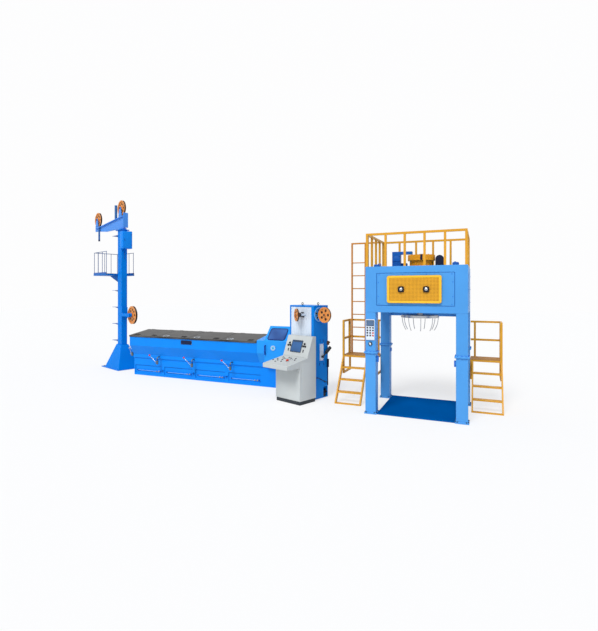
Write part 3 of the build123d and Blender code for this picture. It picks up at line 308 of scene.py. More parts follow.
def steel(name, colour, rough=0.35, stretch=(1, 1, 1), metallic=1.0, shade=0.8):
    """Brushed or rolled metal: streaks along one direction."""
    metal = Finish(name)
    streaks = metal.noise(60.0, 4.0, stretch)
    metal.bump(streaks, 0.15, 0.0005)
    return metal.shade({
        "Base Color": metal.blend(metal.spread(streaks), scaled(colour, shade), colour),
        "Roughness": metal.spread(streaks, rough - 0.08, rough + 0.1),
        "Metallic": metallic,
    })


def pane(name, colour, rough, clear_coat, light=None):
    """Dark glass or a display: deep colour with broad soft clouds under a clear coat."""
    glass = Finish(name)
    deep = colour if light else scaled(colour, 0.65)
    return glass.shade({
        "Base Color": glass.clouds(2.6, 0.5, deep, light or colour),
        "Roughness": rough,
        "Specular IOR Level": 0.25,
        "Coat Weight": clear_coat,
        "Coat Roughness": 0.08,
    })


# Half the width of a wheel's rim, and where its groove and hub are, as shares of its radius
WHEEL_RIM_HALF, GROOVE_START, HUB_END = 0.1, 0.87, 0.12
# Where the colour changes: round a lever's ball, at the motor, and along the wheel's arm
LEVER_BALL = 0.033
MOTOR_START = 7.34
ARM_RADIUS, ARM_START = 0.05, 0.11


def wheel_paint(name, centre, yaw, radius):
    """Orange wheel, dark round the groove of its rim and at the hub."""
    coat = Finish(name)
    local = coat.placed(centre, yaw)
    away = coat.from_axis(local)
    across = coat.math("ABSOLUTE", coat.along(local, "Y"))
    in_groove = coat.below(across, radius * WHEEL_RIM_HALF * 0.9)
    groove = coat.math("MULTIPLY", coat.above(away, radius * GROOVE_START), in_groove)
    colour = coat.clouds(9.0, 5.0, linear(200, 124, 56), linear(224, 150, 82))
    colour = coat.blend(groove, colour, linear(44, 30, 24))
    coat.orange_peel()
    return coat.shade({
        "Base Color": coat.blend(coat.below(away, radius * HUB_END), colour, linear(52, 44, 42)),
        "Roughness": coat.drift(14.0, 4.0, 0.34, 0.52),
        "Specular IOR Level": 0.25,
    })


def lever_paint(name, centre):
    """A bright lever whose ball is red."""
    metal = Finish(name)
    ball_share = metal.below(metal.length(metal.placed(centre)), LEVER_BALL)
    colour = metal.clouds(90.0, 3.0, linear(132, 142, 158), linear(176, 184, 196))
    return metal.shade({
        "Base Color": metal.blend(ball_share, colour, linear(206, 40, 52)),
        "Metallic": metal.math("SUBTRACT", 0.9, ball_share),
        "Roughness": metal.drift(30.0, 3.0, 0.24, 0.36),
    })


def drive_paint():
    """The drum's base in the drum's orange, and the gear motor beside it in dark enamel."""
    coat = Finish("drive_paint")
    colour = coat.clouds(4.0, 4.0, linear(212, 136, 26), linear(240, 158, 32))
    motor = coat.above(coat.along(coat.coords, "X"), MOTOR_START)
    return coat.shade({
        "Base Color": coat.blend(motor, colour, linear(20, 32, 62)),
        "Roughness": coat.drift(9.0, 3.0, 0.38, 0.52),
        "Specular IOR Level": 0.2,
    })


def mount_paint():
    """Dark wheel mounts and lifting eyes, with the front wheel's arm in bright steel."""
    coat = Finish("mount_paint")
    centre, yaw = WHEELS["dancer_front_wheel"][:2]
    local = coat.placed(centre, yaw)
    near_axis = coat.below(coat.from_axis(local), ARM_RADIUS)
    arm = coat.math("MULTIPLY", near_axis, coat.above(coat.along(local, "Y"), ARM_START))
    colour = coat.clouds(12.0, 3.0, linear(30, 32, 38), linear(46, 48, 54))
    return coat.shade({
        "Base Color": coat.blend(arm, colour, linear(176, 188, 204)),
        "Roughness": coat.drift(9.0, 3.0, 0.36, 0.5),
        "Specular IOR Level": 0.3,
    })


HOLE_PITCH = 0.03


def perforated(name, colour, hole):
    """Sheet with a square grid of small dark holes."""
    sheet = Finish(name)
    flat = sheet.node("Mapping", {"Vector": sheet.coords, "Scale": (1, 0, 1)})
    grid = {"Vector": flat, "Scale": 1 / HOLE_PITCH, "Randomness": 0.0}
    away = sheet.node("TexVoronoi", grid, "Distance")
    limits = {"From Min": 0.26, "From Max": 0.34, "To Min": 1.0, "To Max": 0.0}
    in_hole = sheet.node("MapRange", {"Value": away, **limits})
    under = sheet.clouds(3.0, 3.0, scaled(colour, 0.9), colour)
    sheet.bump(in_hole, -0.6, 0.002)
    return sheet.shade({
        "Base Color": sheet.blend(in_hole, under, hole),
        "Roughness": sheet.drift(8.0, 3.0, 0.4, 0.5),
        "Specular IOR Level": 0.25,
    })


def oiled_plate(name):
    """Dark lid plate: rolling streaks along the line, oily patches and fine scratches."""
    metal = Finish(name)
    streaks = metal.noise(9.0, 6.0, (0.12, 2.4, 1))
    scratches = metal.noise(70.0, 3.0, (0.04, 2.0, 1))
    patches = metal.noise(0.9)
    colour = metal.blend(metal.spread(streaks), linear(30, 29, 29), linear(60, 59, 58))
    light = metal.math("MULTIPLY", metal.spread(scratches, 0.1, 0.9), metal.spread(patches))
    metal.bump(scratches, 0.12, 0.0006)
    return metal.shade({
        "Base Color": metal.blend(light, colour, linear(126, 125, 122)),
        "Roughness": metal.spread(patches, 0.3, 0.55),
        "Metallic": 0.05,
        "Specular IOR Level": 0.1,
    })


# Screen colour, then roughness and gloss where they aren't the usual ones
PAINTS = {
    "machine_blue": (4, 134, 236, 0.38, 0.14),
    "mast_blue": (0, 122, 220, 0.4, 0.05),
    "cabinet_blue": (2, 128, 222, 0.36, 0.14),
    "hood_blue": (34, 152, 242, 0.36, 0.16),
    "deep_blue": (2, 88, 172),
    "splice_blue": (42, 122, 218),
    "pale_blue": (150, 202, 246),
    "deck_blue": (4, 104, 186, 0.42, 0.08),
    "tube_blue": (54, 104, 164),
    "railing_blue": (78, 104, 146),
    "gantry_blue": (76, 152, 222, 0.42, 0.18),
    "jib_blue": (72, 142, 228, 0.42),
    "floor_blue": (0, 84, 156, 0.6, 0.0),
    # pale blue of the painted highlight strips on the hatch bars
    "slide_blue": (150, 200, 246, 0.35),
    "wheel_orange": (240, 152, 28, 0.42),
    "rail_orange": (216, 156, 44, 0.42),
    "ladder_orange": (196, 128, 44, 0.45),
    "drum_orange": (250, 166, 30, 0.4),
    "deck_tan": (176, 124, 62, 0.6),
    "rim_yellow": (240, 190, 52, 0.4),
    "dark_steel": (42, 44, 50, 0.45),
    "black_plastic": (22, 22, 26, 0.35),
    "navy_enamel": (14, 24, 56, 0.35),
    "brown_casting": (96, 62, 40, 0.6),
    "dark_plate": (12, 26, 62, 0.3),
    "window_frame": (8, 40, 104, 0.35),
    "fitting_grey": (14, 64, 158, 0.4),
    "pale_disc": (168, 200, 226, 0.4),
    "cyan_lamp": (30, 170, 214, 0.3),
    "plinth_grey": (50, 56, 62, 0.5),
    "console_grey": (194, 199, 199, 0.5),
    "screen_frame": (54, 70, 92, 0.4),
    "button_grey": (96, 116, 112, 0.4),
    "stop_red": (216, 66, 38, 0.35),
    # dark brown of the painted shade in the wheels' holes
    "hole_dark": (64, 38, 24, 0.5),
}
# Screen colour, roughness, stretch of the streaks, metal share and shade of the streaks
STEELS = {
    "bright_steel": (190, 192, 196, 0.3, (1, 1, 8)),
    "brass_bolts": (196, 178, 112, 0.35),
    "valve_brass": (122, 128, 118, 0.38, (1, 1, 1), 0.8),
    "lever_steel": (190, 194, 200, 0.3),
    "bright_panel": (216, 228, 242, 0.38, (1, 1, 0.05), 0.1, 0.88),
    "switch_steel": (222, 230, 240, 0.35, (1, 1, 1), 0.1),
    "ring_steel": (200, 202, 204, 0.35),
}
# Screen colour, roughness, clear coat and the clouds' colour
PANES = {
    "window_glass": (10, 44, 108, 0.14, 0.2, linear(50, 98, 166)),
    "screen_glass": (52, 96, 150, 0.25, 0.1),
    "panel_display": (88, 116, 152, 0.3, 0.1),
}
MATERIALS = {
    "cover_yellow": perforated("cover_yellow", linear(226, 164, 38), linear(150, 98, 16)),
    "lid_grey": oiled_plate("lid_grey"),
}
for make, table in ((paint, PAINTS), (steel, STEELS), (pane, PANES)):
    for finish_name, numbers in table.items():
        MATERIALS[finish_name] = make(finish_name, linear(*numbers[:3]), *numbers[3:])

# Nodes whose finish differs a little from the rest of their slot
NODE_FINISH = {
    "tower_base": "mast_blue",
    "tower_mast": "mast_blue",
    # the steps are painted darker than the mast: painted shade
    "tower_steps": "deep_blue",
    "tower_wheel_arm": "mast_blue",
    "tower_platform": "deck_blue",
    "tower_railing": "railing_blue",
    "jib_post_and_guide": "tube_blue",
    "jib_beam": "jib_blue",
    "jib_forks": "jib_blue",
    "dancer_cabinet": "cabinet_blue",
    "hood": "hood_blue",
    "gantry_floor": "floor_blue",
    "roof_arm": "deep_blue",
    "roof_drum": "drum_orange",
    "roof_ladder": "ladder_orange",
}
# Finishes of small fittings, under the slot of the record that each one shades
SLOT_FINISHES = {
    "machine_blue": ("deep_blue", "slide_blue"),
    "gantry_blue": ("pale_blue", "splice_blue"),
    "dark_steel": ("black_plastic", "navy_enamel", "button_grey", "brown_casting"),
    "lever_steel": ("switch_steel",),
    "valve_brass": ("brass_bolts",),
    "wheel_orange": ("stop_red", "drum_orange", "hole_dark"),
    "rail_orange": ("deck_tan",),
    "cover_yellow": ("rim_yellow",),
    "window_glass": ("window_frame",),
    "screen_glass": ("screen_frame", "panel_display"),
    "fitting_grey": ("pale_disc", "cyan_lamp"),
}
FINISH_SLOT = {shade: slot for slot, shades in SLOT_FINISHES.items() for shade in shades}

# The turned stations
TURN = math.radians(160)
YAW = math.radians(-20)
TOWER = at(-4.214, 0.215) @ Matrix.Rotation(TURN, 4, "Z")
CABINET = at(4.312, -1.655) @ Matrix.Rotation(YAW, 4, "Z")
CONSOLE = at(4.201, -2.310) @ Matrix.Rotation(YAW, 4, "Z")
# Each wheel's centre, turn, radius and body
WHEELS = {
    "jib_root_wheel": (TOWER @ Vector((0.06, 0, 6.0594)), TURN, 0.3, "root_wheel"),
    "jib_tip_wheel": (TOWER @ Vector((2.2, 0, 5.8479)), TURN, 0.3, "tip_wheel"),
    "tower_low_wheel": (TOWER @ Vector((-0.82, 0, 2.01)), TURN, 0.33, "low_wheel"),
    "dancer_front_wheel": (
        CABINET @ Vector((-0.427, -0.2, 2.246)), YAW - math.radians(29), 0.175, "front_wheel",
    ),
    "dancer_side_wheel": (CABINET @ Vector((0.297, 0.1, 2.26)), YAW, 0.205, "side_wheel"),
}
LEVER_BALLS = {
    "valve_lever_1": (-1.859, -0.932, 0.739),
    "valve_lever_2": (-0.451, -0.932, 0.739),
    "valve_lever_3": (0.987, -0.932, 0.739),
}


def dress_cad_nodes():
    """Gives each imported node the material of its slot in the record, or its own finish."""
    for name, node in frame["nodes"].items():
        if name in WHEELS:
            material = wheel_paint(name + "_paint", *WHEELS[name][:3])
        elif name == "roof_drive":
            material = drive_paint()
        elif name == "cabinet_fittings":
            material = mount_paint()
        elif name in LEVER_BALLS:
            material = lever_paint(name + "_finish", LEVER_BALLS[name])
        else:
            material = MATERIALS[NODE_FINISH.get(name, slots[name])]
        node.data.materials.clear()
        node.data.materials.append(material)


# Shapes that the fittings are made of, each with its foot on the XY plane
def join(whole, shape, place):
    """Adds a copy of a shape, at its place, to a larger mesh."""
    mesh = bpy.data.meshes.new("shape")
    shape.to_mesh(mesh)
    mesh.transform(place)
    whole.from_mesh(mesh)
    bpy.data.meshes.remove(mesh)


def round_edges(bm, edges, size, steps):
    bmesh.ops.bevel(
        bm, geom=edges, offset=size, offset_type="OFFSET", segments=steps,
        profile=0.5, affect="EDGES", material=-1, clamp_overlap=True,
    )


def upright_edges(bm, depth):
    return [e for e in bm.edges if abs(e.verts[0].co.z - e.verts[1].co.z) > depth / 2]


def soften_front(bm, depth, edge):
    if edge:
        front = [e for e in bm.edges if min(v.co.z for v in e.verts) > depth * 0.99]
        round_edges(bm, front, edge, 2)
    return bm


def slab(width, height, depth, corner=0.0, edge=0.0):
    """A flat plate with rounded corners and softened front edges."""
    bm = bmesh.new()
    place = at(0, 0, depth / 2) @ Matrix.Diagonal((width, height, depth, 1))
    bmesh.ops.create_cube(bm, size=1.0, matrix=place)
    if corner:
        round_edges(bm, upright_edges(bm, depth), corner, 5)
    return soften_front(bm, depth, edge)


def tray(width, height, depth, lip, floor, corner=0.0):
    """A plate with a raised lip round a lower field."""
    bm = slab(width, height, depth, corner)
    top = max(bm.faces, key=lambda side: side.calc_center_median().z)
    bmesh.ops.inset_region(bm, faces=[top], thickness=lip)
    made = bmesh.ops.extrude_discrete_faces(bm, faces=[top])
    bmesh.ops.translate(bm, verts=made["faces"][0].verts, vec=(0, 0, floor - depth))
    return bm


def rim(width, height, depth, band, corner=0.0):
    """A flat frame with an open middle, rounded outside and in."""
    bm = slab(width, height, depth)
    flats = sorted(bm.faces, key=lambda side: side.calc_center_median().z)
    pair = [flats[0], flats[-1]]
    bmesh.ops.inset_individual(bm, faces=pair, thickness=band)
    edges = [edge for side in pair for edge in side.edges]
    bmesh.ops.delete(bm, geom=pair, context="FACES_ONLY")
    bmesh.ops.bridge_loops(bm, edges=edges)
    upright = upright_edges(bm, depth)
    outer = [e for e in upright if abs(e.verts[0].co.x) > width / 2 - band / 2]
    inner = [e for e in upright if e not in outer]
    if corner:
        round_edges(bm, outer, corner, 5)
        inner = [e for e in inner if e.is_valid]
        round_edges(bm, inner, max(corner - band, band * 0.3), 4)
    bmesh.ops.recalc_face_normals(bm, faces=bm.faces)
    return bm


def button(radius, height, edge=0.0, sides=24):
    """A round stud with a softened rim."""
    bm = bmesh.new()
    bmesh.ops.create_cone(
        bm, cap_ends=True, segments=sides, radius1=radius, radius2=radius, depth=height,
        matrix=at(0, 0, height / 2),
    )
    return soften_front(bm, height, edge)


def bolt(across, height):
    """A hexagon head on its washer."""
    bm = button(across * 0.62, height * 0.22, 0.0, 16)
    join(bm, button(across / 2, height, height * 0.15, 6), at(0, 0))
    return bm


def ball(radius, squash=1.0):
    bm = bmesh.new()
    bmesh.ops.create_uvsphere(bm, u_segments=20, v_segments=12, radius=radius)
    bmesh.ops.scale(bm, vec=(1, 1, squash), verts=bm.verts)
    return bm


def spin_round(bm, steps):
    """Spins the lines of a mesh about Z to a closed skin."""
    bmesh.ops.spin(
        bm, geom=bm.verts[:] + bm.edges[:], axis=(0, 0, 1), cent=(0, 0, 0),
        angle=math.tau, steps=steps, use_merge=True,
    )
    bmesh.ops.remove_doubles(bm, verts=bm.verts, dist=1e-6)
    bmesh.ops.recalc_face_normals(bm, faces=bm.faces)
    return bm


def turned(profile, steps=32):
    """A turned part: an open line of (radius, height) points, spun about Z."""
    bm = bmesh.new()
    points = [bm.verts.new((radius, 0, height)) for radius, height in profile]
    for pair in zip(points, points[1:]):
        bm.edges.new(pair)
    return spin_round(bm, steps)


def hoop(radius, wire, steps=32, sides=10):
    """A round wire bent to a closed ring."""
    bm = bmesh.new()
    place = at(radius, 0) @ tilt(90, "X")
    bmesh.ops.create_circle(bm, segments=sides, radius=wire, matrix=place)
    return spin_round(bm, steps)


def pipe(points, radius):
    """A pipe through a few points, with smooth bends."""
    curve = bpy.data.curves.new("pipe", "CURVE")
    curve.dimensions = "3D"
    curve.bevel_depth = radius
    curve.bevel_resolution = 2
    curve.use_fill_caps = True
    spline = curve.splines.new("NURBS")
    spline.points.add(len(points) - 1)
    for point, place in zip(spline.points, points):
        point.co = (*place, 1)
    spline.order_u = 3
    spline.use_endpoint_u = True
    holder = new_object("pipe", curve)
    mesh = bpy.data.meshes.new_from_object(holder)
    bm = bmesh.new()
    bm.from_mesh(mesh)
    bpy.data.objects.remove(holder)
    bpy.data.meshes.remove(mesh)
    bpy.data.curves.remove(curve)
    return bm


# Pieces put together from those shapes
SMOOTH_ANGLE = math.radians(35)


def spots(shape, place, xs, ys, z=0.0):
    """The same shape at each crossing of two rows of places on a surface."""
    return [(shape, place @ at(x, y, z)) for x in xs for y in ys]


def ring(shape, place, count, radius, z=0.0, first=0.0):
    """The same shape at even steps round a centre, turned with each step."""
    turns = [tilt(first + 360 * i / count, "Z") for i in range(count)]
    return [(shape, place @ turn @ at(radius, 0, z)) for turn in turns]


def fitting(name, finish, parts, body="line", slot=None):
    """Joins small shapes at their places to one piece that rides on a body."""
    slot = slot or FINISH_SLOT.get(finish)
    whole = bmesh.new()
    for shape, place in parts:
        join(whole, shape, place)
    mesh = mesh_of(name, whole)
    mesh.shade_smooth()
    mesh.set_sharp_from_angle(angle=SMOOTH_ANGLE)
    mesh.materials.append(MATERIALS[finish])
    piece = new_object(name, mesh)
    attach(piece, body)


# Drawing machine: places that the fittings share with the solids, in metres
TANK_LEFT, TANK_LENGTH, TANK_BACK = -2.725, 4.94, 0.715
BAY_PITCH, LID_GAP, BAYS = 1.235, 0.012, 4
BAND_FRONT = -0.935
LID_FRONT, LID_FRONT_HEIGHT = -0.965, 1.385
LID_SLOPE = math.atan2(0.133, 0.94)
LID_REACH = math.hypot(0.133, 0.94) + 0.03
HINGE_DROP = 0.0265
LID_HINGE = (
    LID_FRONT + LID_REACH * math.cos(LID_SLOPE) + HINGE_DROP * math.sin(LID_SLOPE),
    LID_FRONT_HEIGHT + LID_REACH * math.sin(LID_SLOPE) - HINGE_DROP * math.cos(LID_SLOPE),
)
LATCH_INSET, LATCH_UP = 0.25, 0.135
HATCH_START, HATCH_PITCH, HATCH_WIDTH = 0.048, 1.258, 1.13
VALVE_SHARES = (0.232, 0.517, 0.808)
VALVE_HEIGHT, VALVE_COLLAR = 0.51245, 0.039


def add_latches():
    """A bezel round each recess, a dark tray in it, a pivot, and the pull with its bright lip; bezel
    and pull are bright, painted lit, on the left latch of each lid but the first, and dark, painted
    shade, on the others.
    """
    bezel = rim(0.194, 0.134, 0.006, 0.021, 0.03)
    recess = tray(0.148, 0.088, 0.004, 0.006, 0.0015)
    pivot = button(0.016, 0.006, 0.001, 16)
    pull = slab(0.05, 0.056, 0.012, 0.01, 0.003)
    lip = slab(0.01, 0.05, 0.006, 0.004, 0.002)
    for index in range(BAYS):
        bright, dark, pulls = [], [], []
        left = TANK_LEFT + BAY_PITCH * index
        right = left + BAY_PITCH - LID_GAP
        for side, x in enumerate((left + LATCH_INSET, right - LATCH_INSET)):
            lid = slope_face((x, *LID_HINGE), LID_SLOPE)
            top = lid @ at(0, LATCH_UP - LID_REACH, HINGE_DROP)
            # The latches are alike: the left one of each lid but the first is painted lit, the others
            # painted shaded.
            painted_lit = side == 0 and index > 0
            (bright if painted_lit else dark).append((bezel, top))
            dark.append((recess, top @ at(0, 0, -0.0215)))
            dark.append((pivot, top @ at(-0.04, 0, -0.018)))
            (pulls if painted_lit else dark).append((pull, top @ at(0.042, 0, -0.0195)))
            pulls.append((lip, top @ at(0.014, 0, -0.016)))
        body = f"lid_body_{index + 1}"
        if bright:
            fitting(f"latch_bezel_{index + 1}", "switch_steel", bright, body)
        fitting(f"latch_trays_{index + 1}", "black_plastic", dark, body)
        fitting(f"latch_pulls_{index + 1}", "switch_steel", pulls, body)


def add_hatch_fittings():
    """Clamp bolts and end stops of the hatches, pale strips of painted highlight along the bars, dark
    strips of painted shade along the hatches' top and left edges and under the pale strips, and caps
    on the pillar knobs.
    """
    bolts, stops, highlight_strips, shade_strips, caps = [], [], [], [], []
    bar = face((0, -0.72, 0.1766), RIGHT)
    cap = turned([(0, 0.012), (0.016, 0.011), (0.026, 0.006), (0.0325, -0.006), (0.0325, -0.028)], 24)
    for index in range(BAYS):
        left = TANK_LEFT + HATCH_START + HATCH_PITCH * index
        right = left + HATCH_WIDTH
        bolts += spots(bolt(0.034, 0.016), bar, (right - 0.19, right - 0.1), (-0.004,))
        stops.append((slab(0.04, 0.052, 0.018, 0.006, 0.003), bar @ at(right - 0.03, 0)))
        stops.append((slab(0.05, 0.044, 0.012, 0.006, 0.003), bar @ at(left + 0.11, 0)))
        # A pale strip along the bar: painted highlight.
        highlight_strips.append((slab(0.84, 0.013, 0.004, 0.004), bar @ at(left + 0.55, -0.006)))
        # Dark strips along the hatch's top and left edges, and under the pale strip on the bar:
        # painted shade.
        shade_strips.append((slab(1.12, 0.007, 0.004), face((left + 0.565, -0.7015, 0.338), RIGHT)))
        shade_strips.append((slab(0.007, 0.27, 0.004), face((left + 0.006, -0.7015, 0.2075), RIGHT)))
        shade_strips.append((slab(1.04, 0.006, 0.004), bar @ at(left + 0.6, -0.0125)))
        if index < BAYS - 1:
            knob = face((right + 0.064, -0.745, 0.20775), RIGHT)
            caps.append((cap, knob))
            caps.append((slab(0.012, 0.05, 0.006, 0.004, 0.002), knob @ at(0, 0, 0.01)))
    fitting("hatch_bolts", "brass_bolts", bolts)
    fitting("hatch_stops", "deep_blue", stops)
    fitting("hatch_highlight_strips", "slide_blue", highlight_strips)
    fitting("hatch_shade_strips", "deep_blue", shade_strips)
    fitting("pillar_knob_caps", "deep_blue", caps)


COVER_DEPTH = 0.006


def service_cover(width, height, place):
    return (slab(width, height, COVER_DEPTH, 0.03, 0.002), place)


def cover_screws(place, xs, ys):
    return spots(bolt(0.018, 0.006), place, xs, ys, COVER_DEPTH)


def add_base_trim():
    """Service covers with screws on the machine's left end and back, and trays with grips."""
    left_end = face((TANK_LEFT, 0.0, 0.38), FORWARD)
    covers = [service_cover(0.9, 0.52, left_end)]
    screws = cover_screws(left_end, (-0.42, 0.42), (-0.23, 0.0, 0.23))
    for x in row(4, -2.1, 1.65):
        back = face((x, TANK_BACK, 1.06), LEFT)
        covers.append(service_cover(1.05, 0.46, back))
        screws += cover_screws(back, (-0.49, 0.49), (-0.2, 0.2))
        low = face((x, TANK_BACK, 0.36), LEFT)
        covers.append((tray(1.05, 0.42, 0.008, 0.02, 0.004, 0.02), low))
        screws += spots(slab(0.012, 0.15, 0.03, 0.004, 0.004), low, (-0.28, 0.28), (0,), 0.004)
    fitting("end_and_back_covers", "machine_blue", covers)
    fitting("cover_screws", "dark_steel", screws)


def add_nameplate_rim():
    """A thin rim and four rivets on the bare plate."""
    low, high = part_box("nameplate")
    middle = (low + high) / 2
    plate = face((middle.x, low.y, middle.z), RIGHT)
    size = high - low
    edge = rim(size.x, size.z, 0.003, 0.008)
    fitting("nameplate_rim", "deep_blue", [(edge, plate)], slot="dark_plate")
    x, y = size.x / 2 - 0.02, size.z / 2 - 0.02
    fitting("nameplate_rivets", "lever_steel", spots(ball(0.006, 0.5), plate, (-x, x), (-y, y)))


def add_valve_fittings():
    """Union nuts, collars and plugs on the valves' pipes and bodies."""
    unions, collars = [], []
    collar, plug = button(VALVE_COLLAR, 0.012, 0.003), button(0.03, 0.022, 0.003, 6)
    feet = []
    for share in VALVE_SHARES:
        x = TANK_LEFT + TANK_LENGTH * share
        foot = at(x, -0.88, VALVE_HEIGHT)
        unions.append((button(0.032, 0.03, 0.003, 6), foot @ at(0, 0, 0.056)))
        unions.append((button(0.026, 0.018, 0.002, 16), foot @ at(0, 0, 0.088)))
        collars.append((button(0.03, 0.012, 0.002, 24), foot @ at(0, 0, -0.006)))
        unions.append((button(0.013, 0.006, 0.001, 6), face((x, -0.9452, VALVE_HEIGHT), RIGHT)))
        feet.append(foot)
    foot = at(TANK_LEFT - 0.165, -0.64, 0.6925)
    unions.append((button(0.032, 0.026, 0.003, 6), foot @ at(0, 0, 0.05)))
    for foot in (*feet, foot):
        collars.append((collar, foot @ at(0, 0, 0.0375)))
        collars.append((collar, foot @ at(0, 0, -0.0475)))
        collars.append((plug, foot @ at(0, 0, -0.0665)))
    fitting("valve_unions", "deep_blue", unions)
    fitting("valve_collars", "valve_brass", collars)


# Hood
HOOD_SLOPE = math.atan2(0.41, 0.4)
HOOD_END = 3.21


def add_hood_fittings():
    """The window's frame and screws, the pale disc with its lamp, and the end's cover and eye."""
    window = slope_face((2.84, -0.735, 1.625), HOOD_SLOPE) @ at(0, -0.037)
    fitting("window_seal", "window_frame", [(rim(0.574, 0.444, 0.021, 0.034, 0.075), window)])
    screw = bolt(0.013, 0.004)
    screws = spots(screw, window, row(4, -0.21, 0.21), (-0.207, 0.207), 0.021)
    screws += spots(screw, window, (-0.271, 0.271), (-0.09, 0.09), 0.021)
    fitting("window_screws", "deep_blue", screws)
    disc = face((2.764, BAND_FRONT - 0.016, 1.214), RIGHT)
    dish = turned([
        (0, 0.003), (0.058, 0.003), (0.062, 0.006), (0.0705, 0.006), (0.0765, 0.0), (0.0765, -0.016),
    ])
    fitting("hood_disc_cover", "pale_disc", [(dish, disc)])
    lamp = slab(0.052, 0.052, 0.01, 0.006, 0.003)
    fitting("hood_disc_lamp", "cyan_lamp", [(lamp, disc @ at(0, 0, 0.003))])
    side = face((HOOD_END, -0.05, 1.16), BACK)
    fitting("hood_covers", "machine_blue", [service_cover(1.0, 0.62, side)])
    screws = cover_screws(side, (-0.46, 0.46), (-0.28, 0.0, 0.28))
    fitting("hood_cover_screws", "dark_steel", screws)
    eye = turned([(0.03, 0.0), (0.045, 0.0), (0.045, 0.004), (0.034, 0.012), (0.03, 0.012)], 24)
    fitting("hood_wire_outlet", "bright_steel", [(eye, face((HOOD_END, -0.72, 1.02), BACK))])


# Dancer cabinet
GUIDE_PLACES = (-0.806, -0.735, -0.55, -0.363, -0.178, -0.106)
SIDE_BOLTS = (
    (0.27, 1.571), (0.395, 1.565), (0.27, 1.53), (0.395, 1.525),
    (0.237, 0.945), (0.415, 0.935), (0.237, 0.905), (0.415, 0.895),
)
SIDE_PIPE = (
    (0.146, 0.57, 0.012), (0.2, 0.56, 0.012), (0.36, 0.47, 0.012), (0.5, 0.41, 0.012),
    (0.572, 0.4, 0.012),
)
DAMPER_Y = 0.572


def add_cabinet_fittings():
    """Guide strips on the front, and bolts, box, duct, pipe and bracket on the side."""
    front = CABINET @ face((0, 0.01, 0), RIGHT)
    guides = spots(slab(0.012, 1.545, 0.005, 0.0, 0.002), front, GUIDE_PLACES, (1.6775,))
    guides.append((slab(0.73, 0.02, 0.008, 0.0, 0.002), front @ at(-0.456, 0.912)))
    marks = spots(slab(0.09, 0.026, 0.02, 0.004, 0.002), front, (-0.395,), (2.302, 2.195))
    marks += spots(bolt(0.016, 0.006), front, (-0.37,), (2.302, 2.195), 0.02)
    side = CABINET @ face((0, 0, 0), BACK)
    bolts = [(bolt(0.03, 0.014), side @ at(y, z)) for y, z in SIDE_BOLTS]
    bolts += spots(bolt(0.016, 0.006), side, (0.262, 0.386), (1.04, 1.443), 0.012)
    bolts.append((slab(0.05, 0.045, 0.03, 0.01, 0.006), side @ at(0.135, 0.572)))
    dark = [(tray(0.05, 0.223, 0.04, 0.005, 0.034, 0.004), side @ at(0.573, 0.9225))]
    dark.append((slab(0.026, 0.5, 0.014, 0.003, 0.003), side @ at(0.585, 0.56)))
    dark.append((pipe(SIDE_PIPE, 0.007), side))
    for y, z in ((0.3, 0.508), (0.45, 0.432)):
        dark.append((slab(0.026, 0.03, 0.02, 0.006, 0.003), side @ at(y, z)))
    brown = [(slab(0.05, 0.11, 0.055, 0.016, 0.005), side @ at(DAMPER_Y, 1.47))]
    brown.append((button(0.02, 0.03, 0.003, 20), side @ at(DAMPER_Y, 1.49, 0.055)))
    fitting("guide_strips", "bright_panel", guides)
    fitting("wheel_switches", "dark_steel", marks)
    fitting("side_bolts", "deep_blue", bolts)
    fitting("side_box_and_duct", "navy_enamel", dark)
    fitting("damper_bracket", "brown_casting", brown)


def add_cabinet_disc():
    """The webs of the disc behind the side wheel, and dark discs of painted shade for its holes."""
    disc = CABINET @ face((0.012, 0.2, 2.26), BACK)
    webs = ring(hoop(0.04, 0.005, 20, 8), disc, 5, 0.105, 0.001, 90)
    webs.append((turned([(0, 0.012), (0.03, 0.012), (0.042, 0.0)], 24), disc @ at(0.06, 0)))
    edge = turned([(0.165, 0.0), (0.165, 0.0145), (0.1885, 0.0145), (0.1885, 0.006)], 48)
    webs.append((edge, disc))
    fitting("disc_webs", "pale_blue", webs)
    # Dark discs where the holes are: painted shade.
    holes = ring(button(0.038, 0.0025, 0.0, 20), disc, 5, 0.105, 0.0, 90)
    fitting("disc_hole_shade", "navy_enamel", holes)


def add_cabinet_back():
    """Vents and cooling fins in the motor's niche, and the two doors at the back."""
    niche = CABINET @ face((-0.13, 0.495, 0.155), BACK)
    vents = spots(slab(0.1, 0.012, 0.004, 0.002), niche, (0,), row(6, -0.09, 0.09))
    fitting("niche_vents", "navy_enamel", vents)
    fin = turned([(0.054, 0.002), (0.0605, 0.002), (0.0605, -0.002), (0.054, -0.002)], 28)
    fins = [(fin, CABINET @ face((-0.065, y, 0.155), LEFT)) for y in row(7, 0.452, 0.546)]
    fitting("motor_fins", "navy_enamel", fins)
    back = CABINET @ face((-0.436, 0.6, 1.25), LEFT)
    doors = spots(slab(0.405, 2.3, 0.006, 0.008, 0.003), back, (-0.21, 0.21), (0,))
    hinge = button(0.012, 0.07, 0.002, 16)
    handles = [
        (hinge, back @ at(x * 1.93, y - 0.035, 0.012) @ tilt(-90, "X"))
        for x in (-0.21, 0.21) for y in row(3, -0.95, 0.95)
    ]
    handles.append((slab(0.028, 0.14, 0.03, 0.01, 0.005), back @ at(0.045, 0.05, 0.006)))
    fitting("cabinet_back_doors", "machine_blue", doors)
    fitting("cabinet_door_handles", "dark_steel", handles)


# Console
CONSOLE_SLOPE = math.atan2(0.535, 0.212)
SLOPE_LENGTH = math.hypot(0.535, 0.212)
DESK_SLOPE = math.atan2(0.12, 0.733)
DESK_FRONT = -0.465
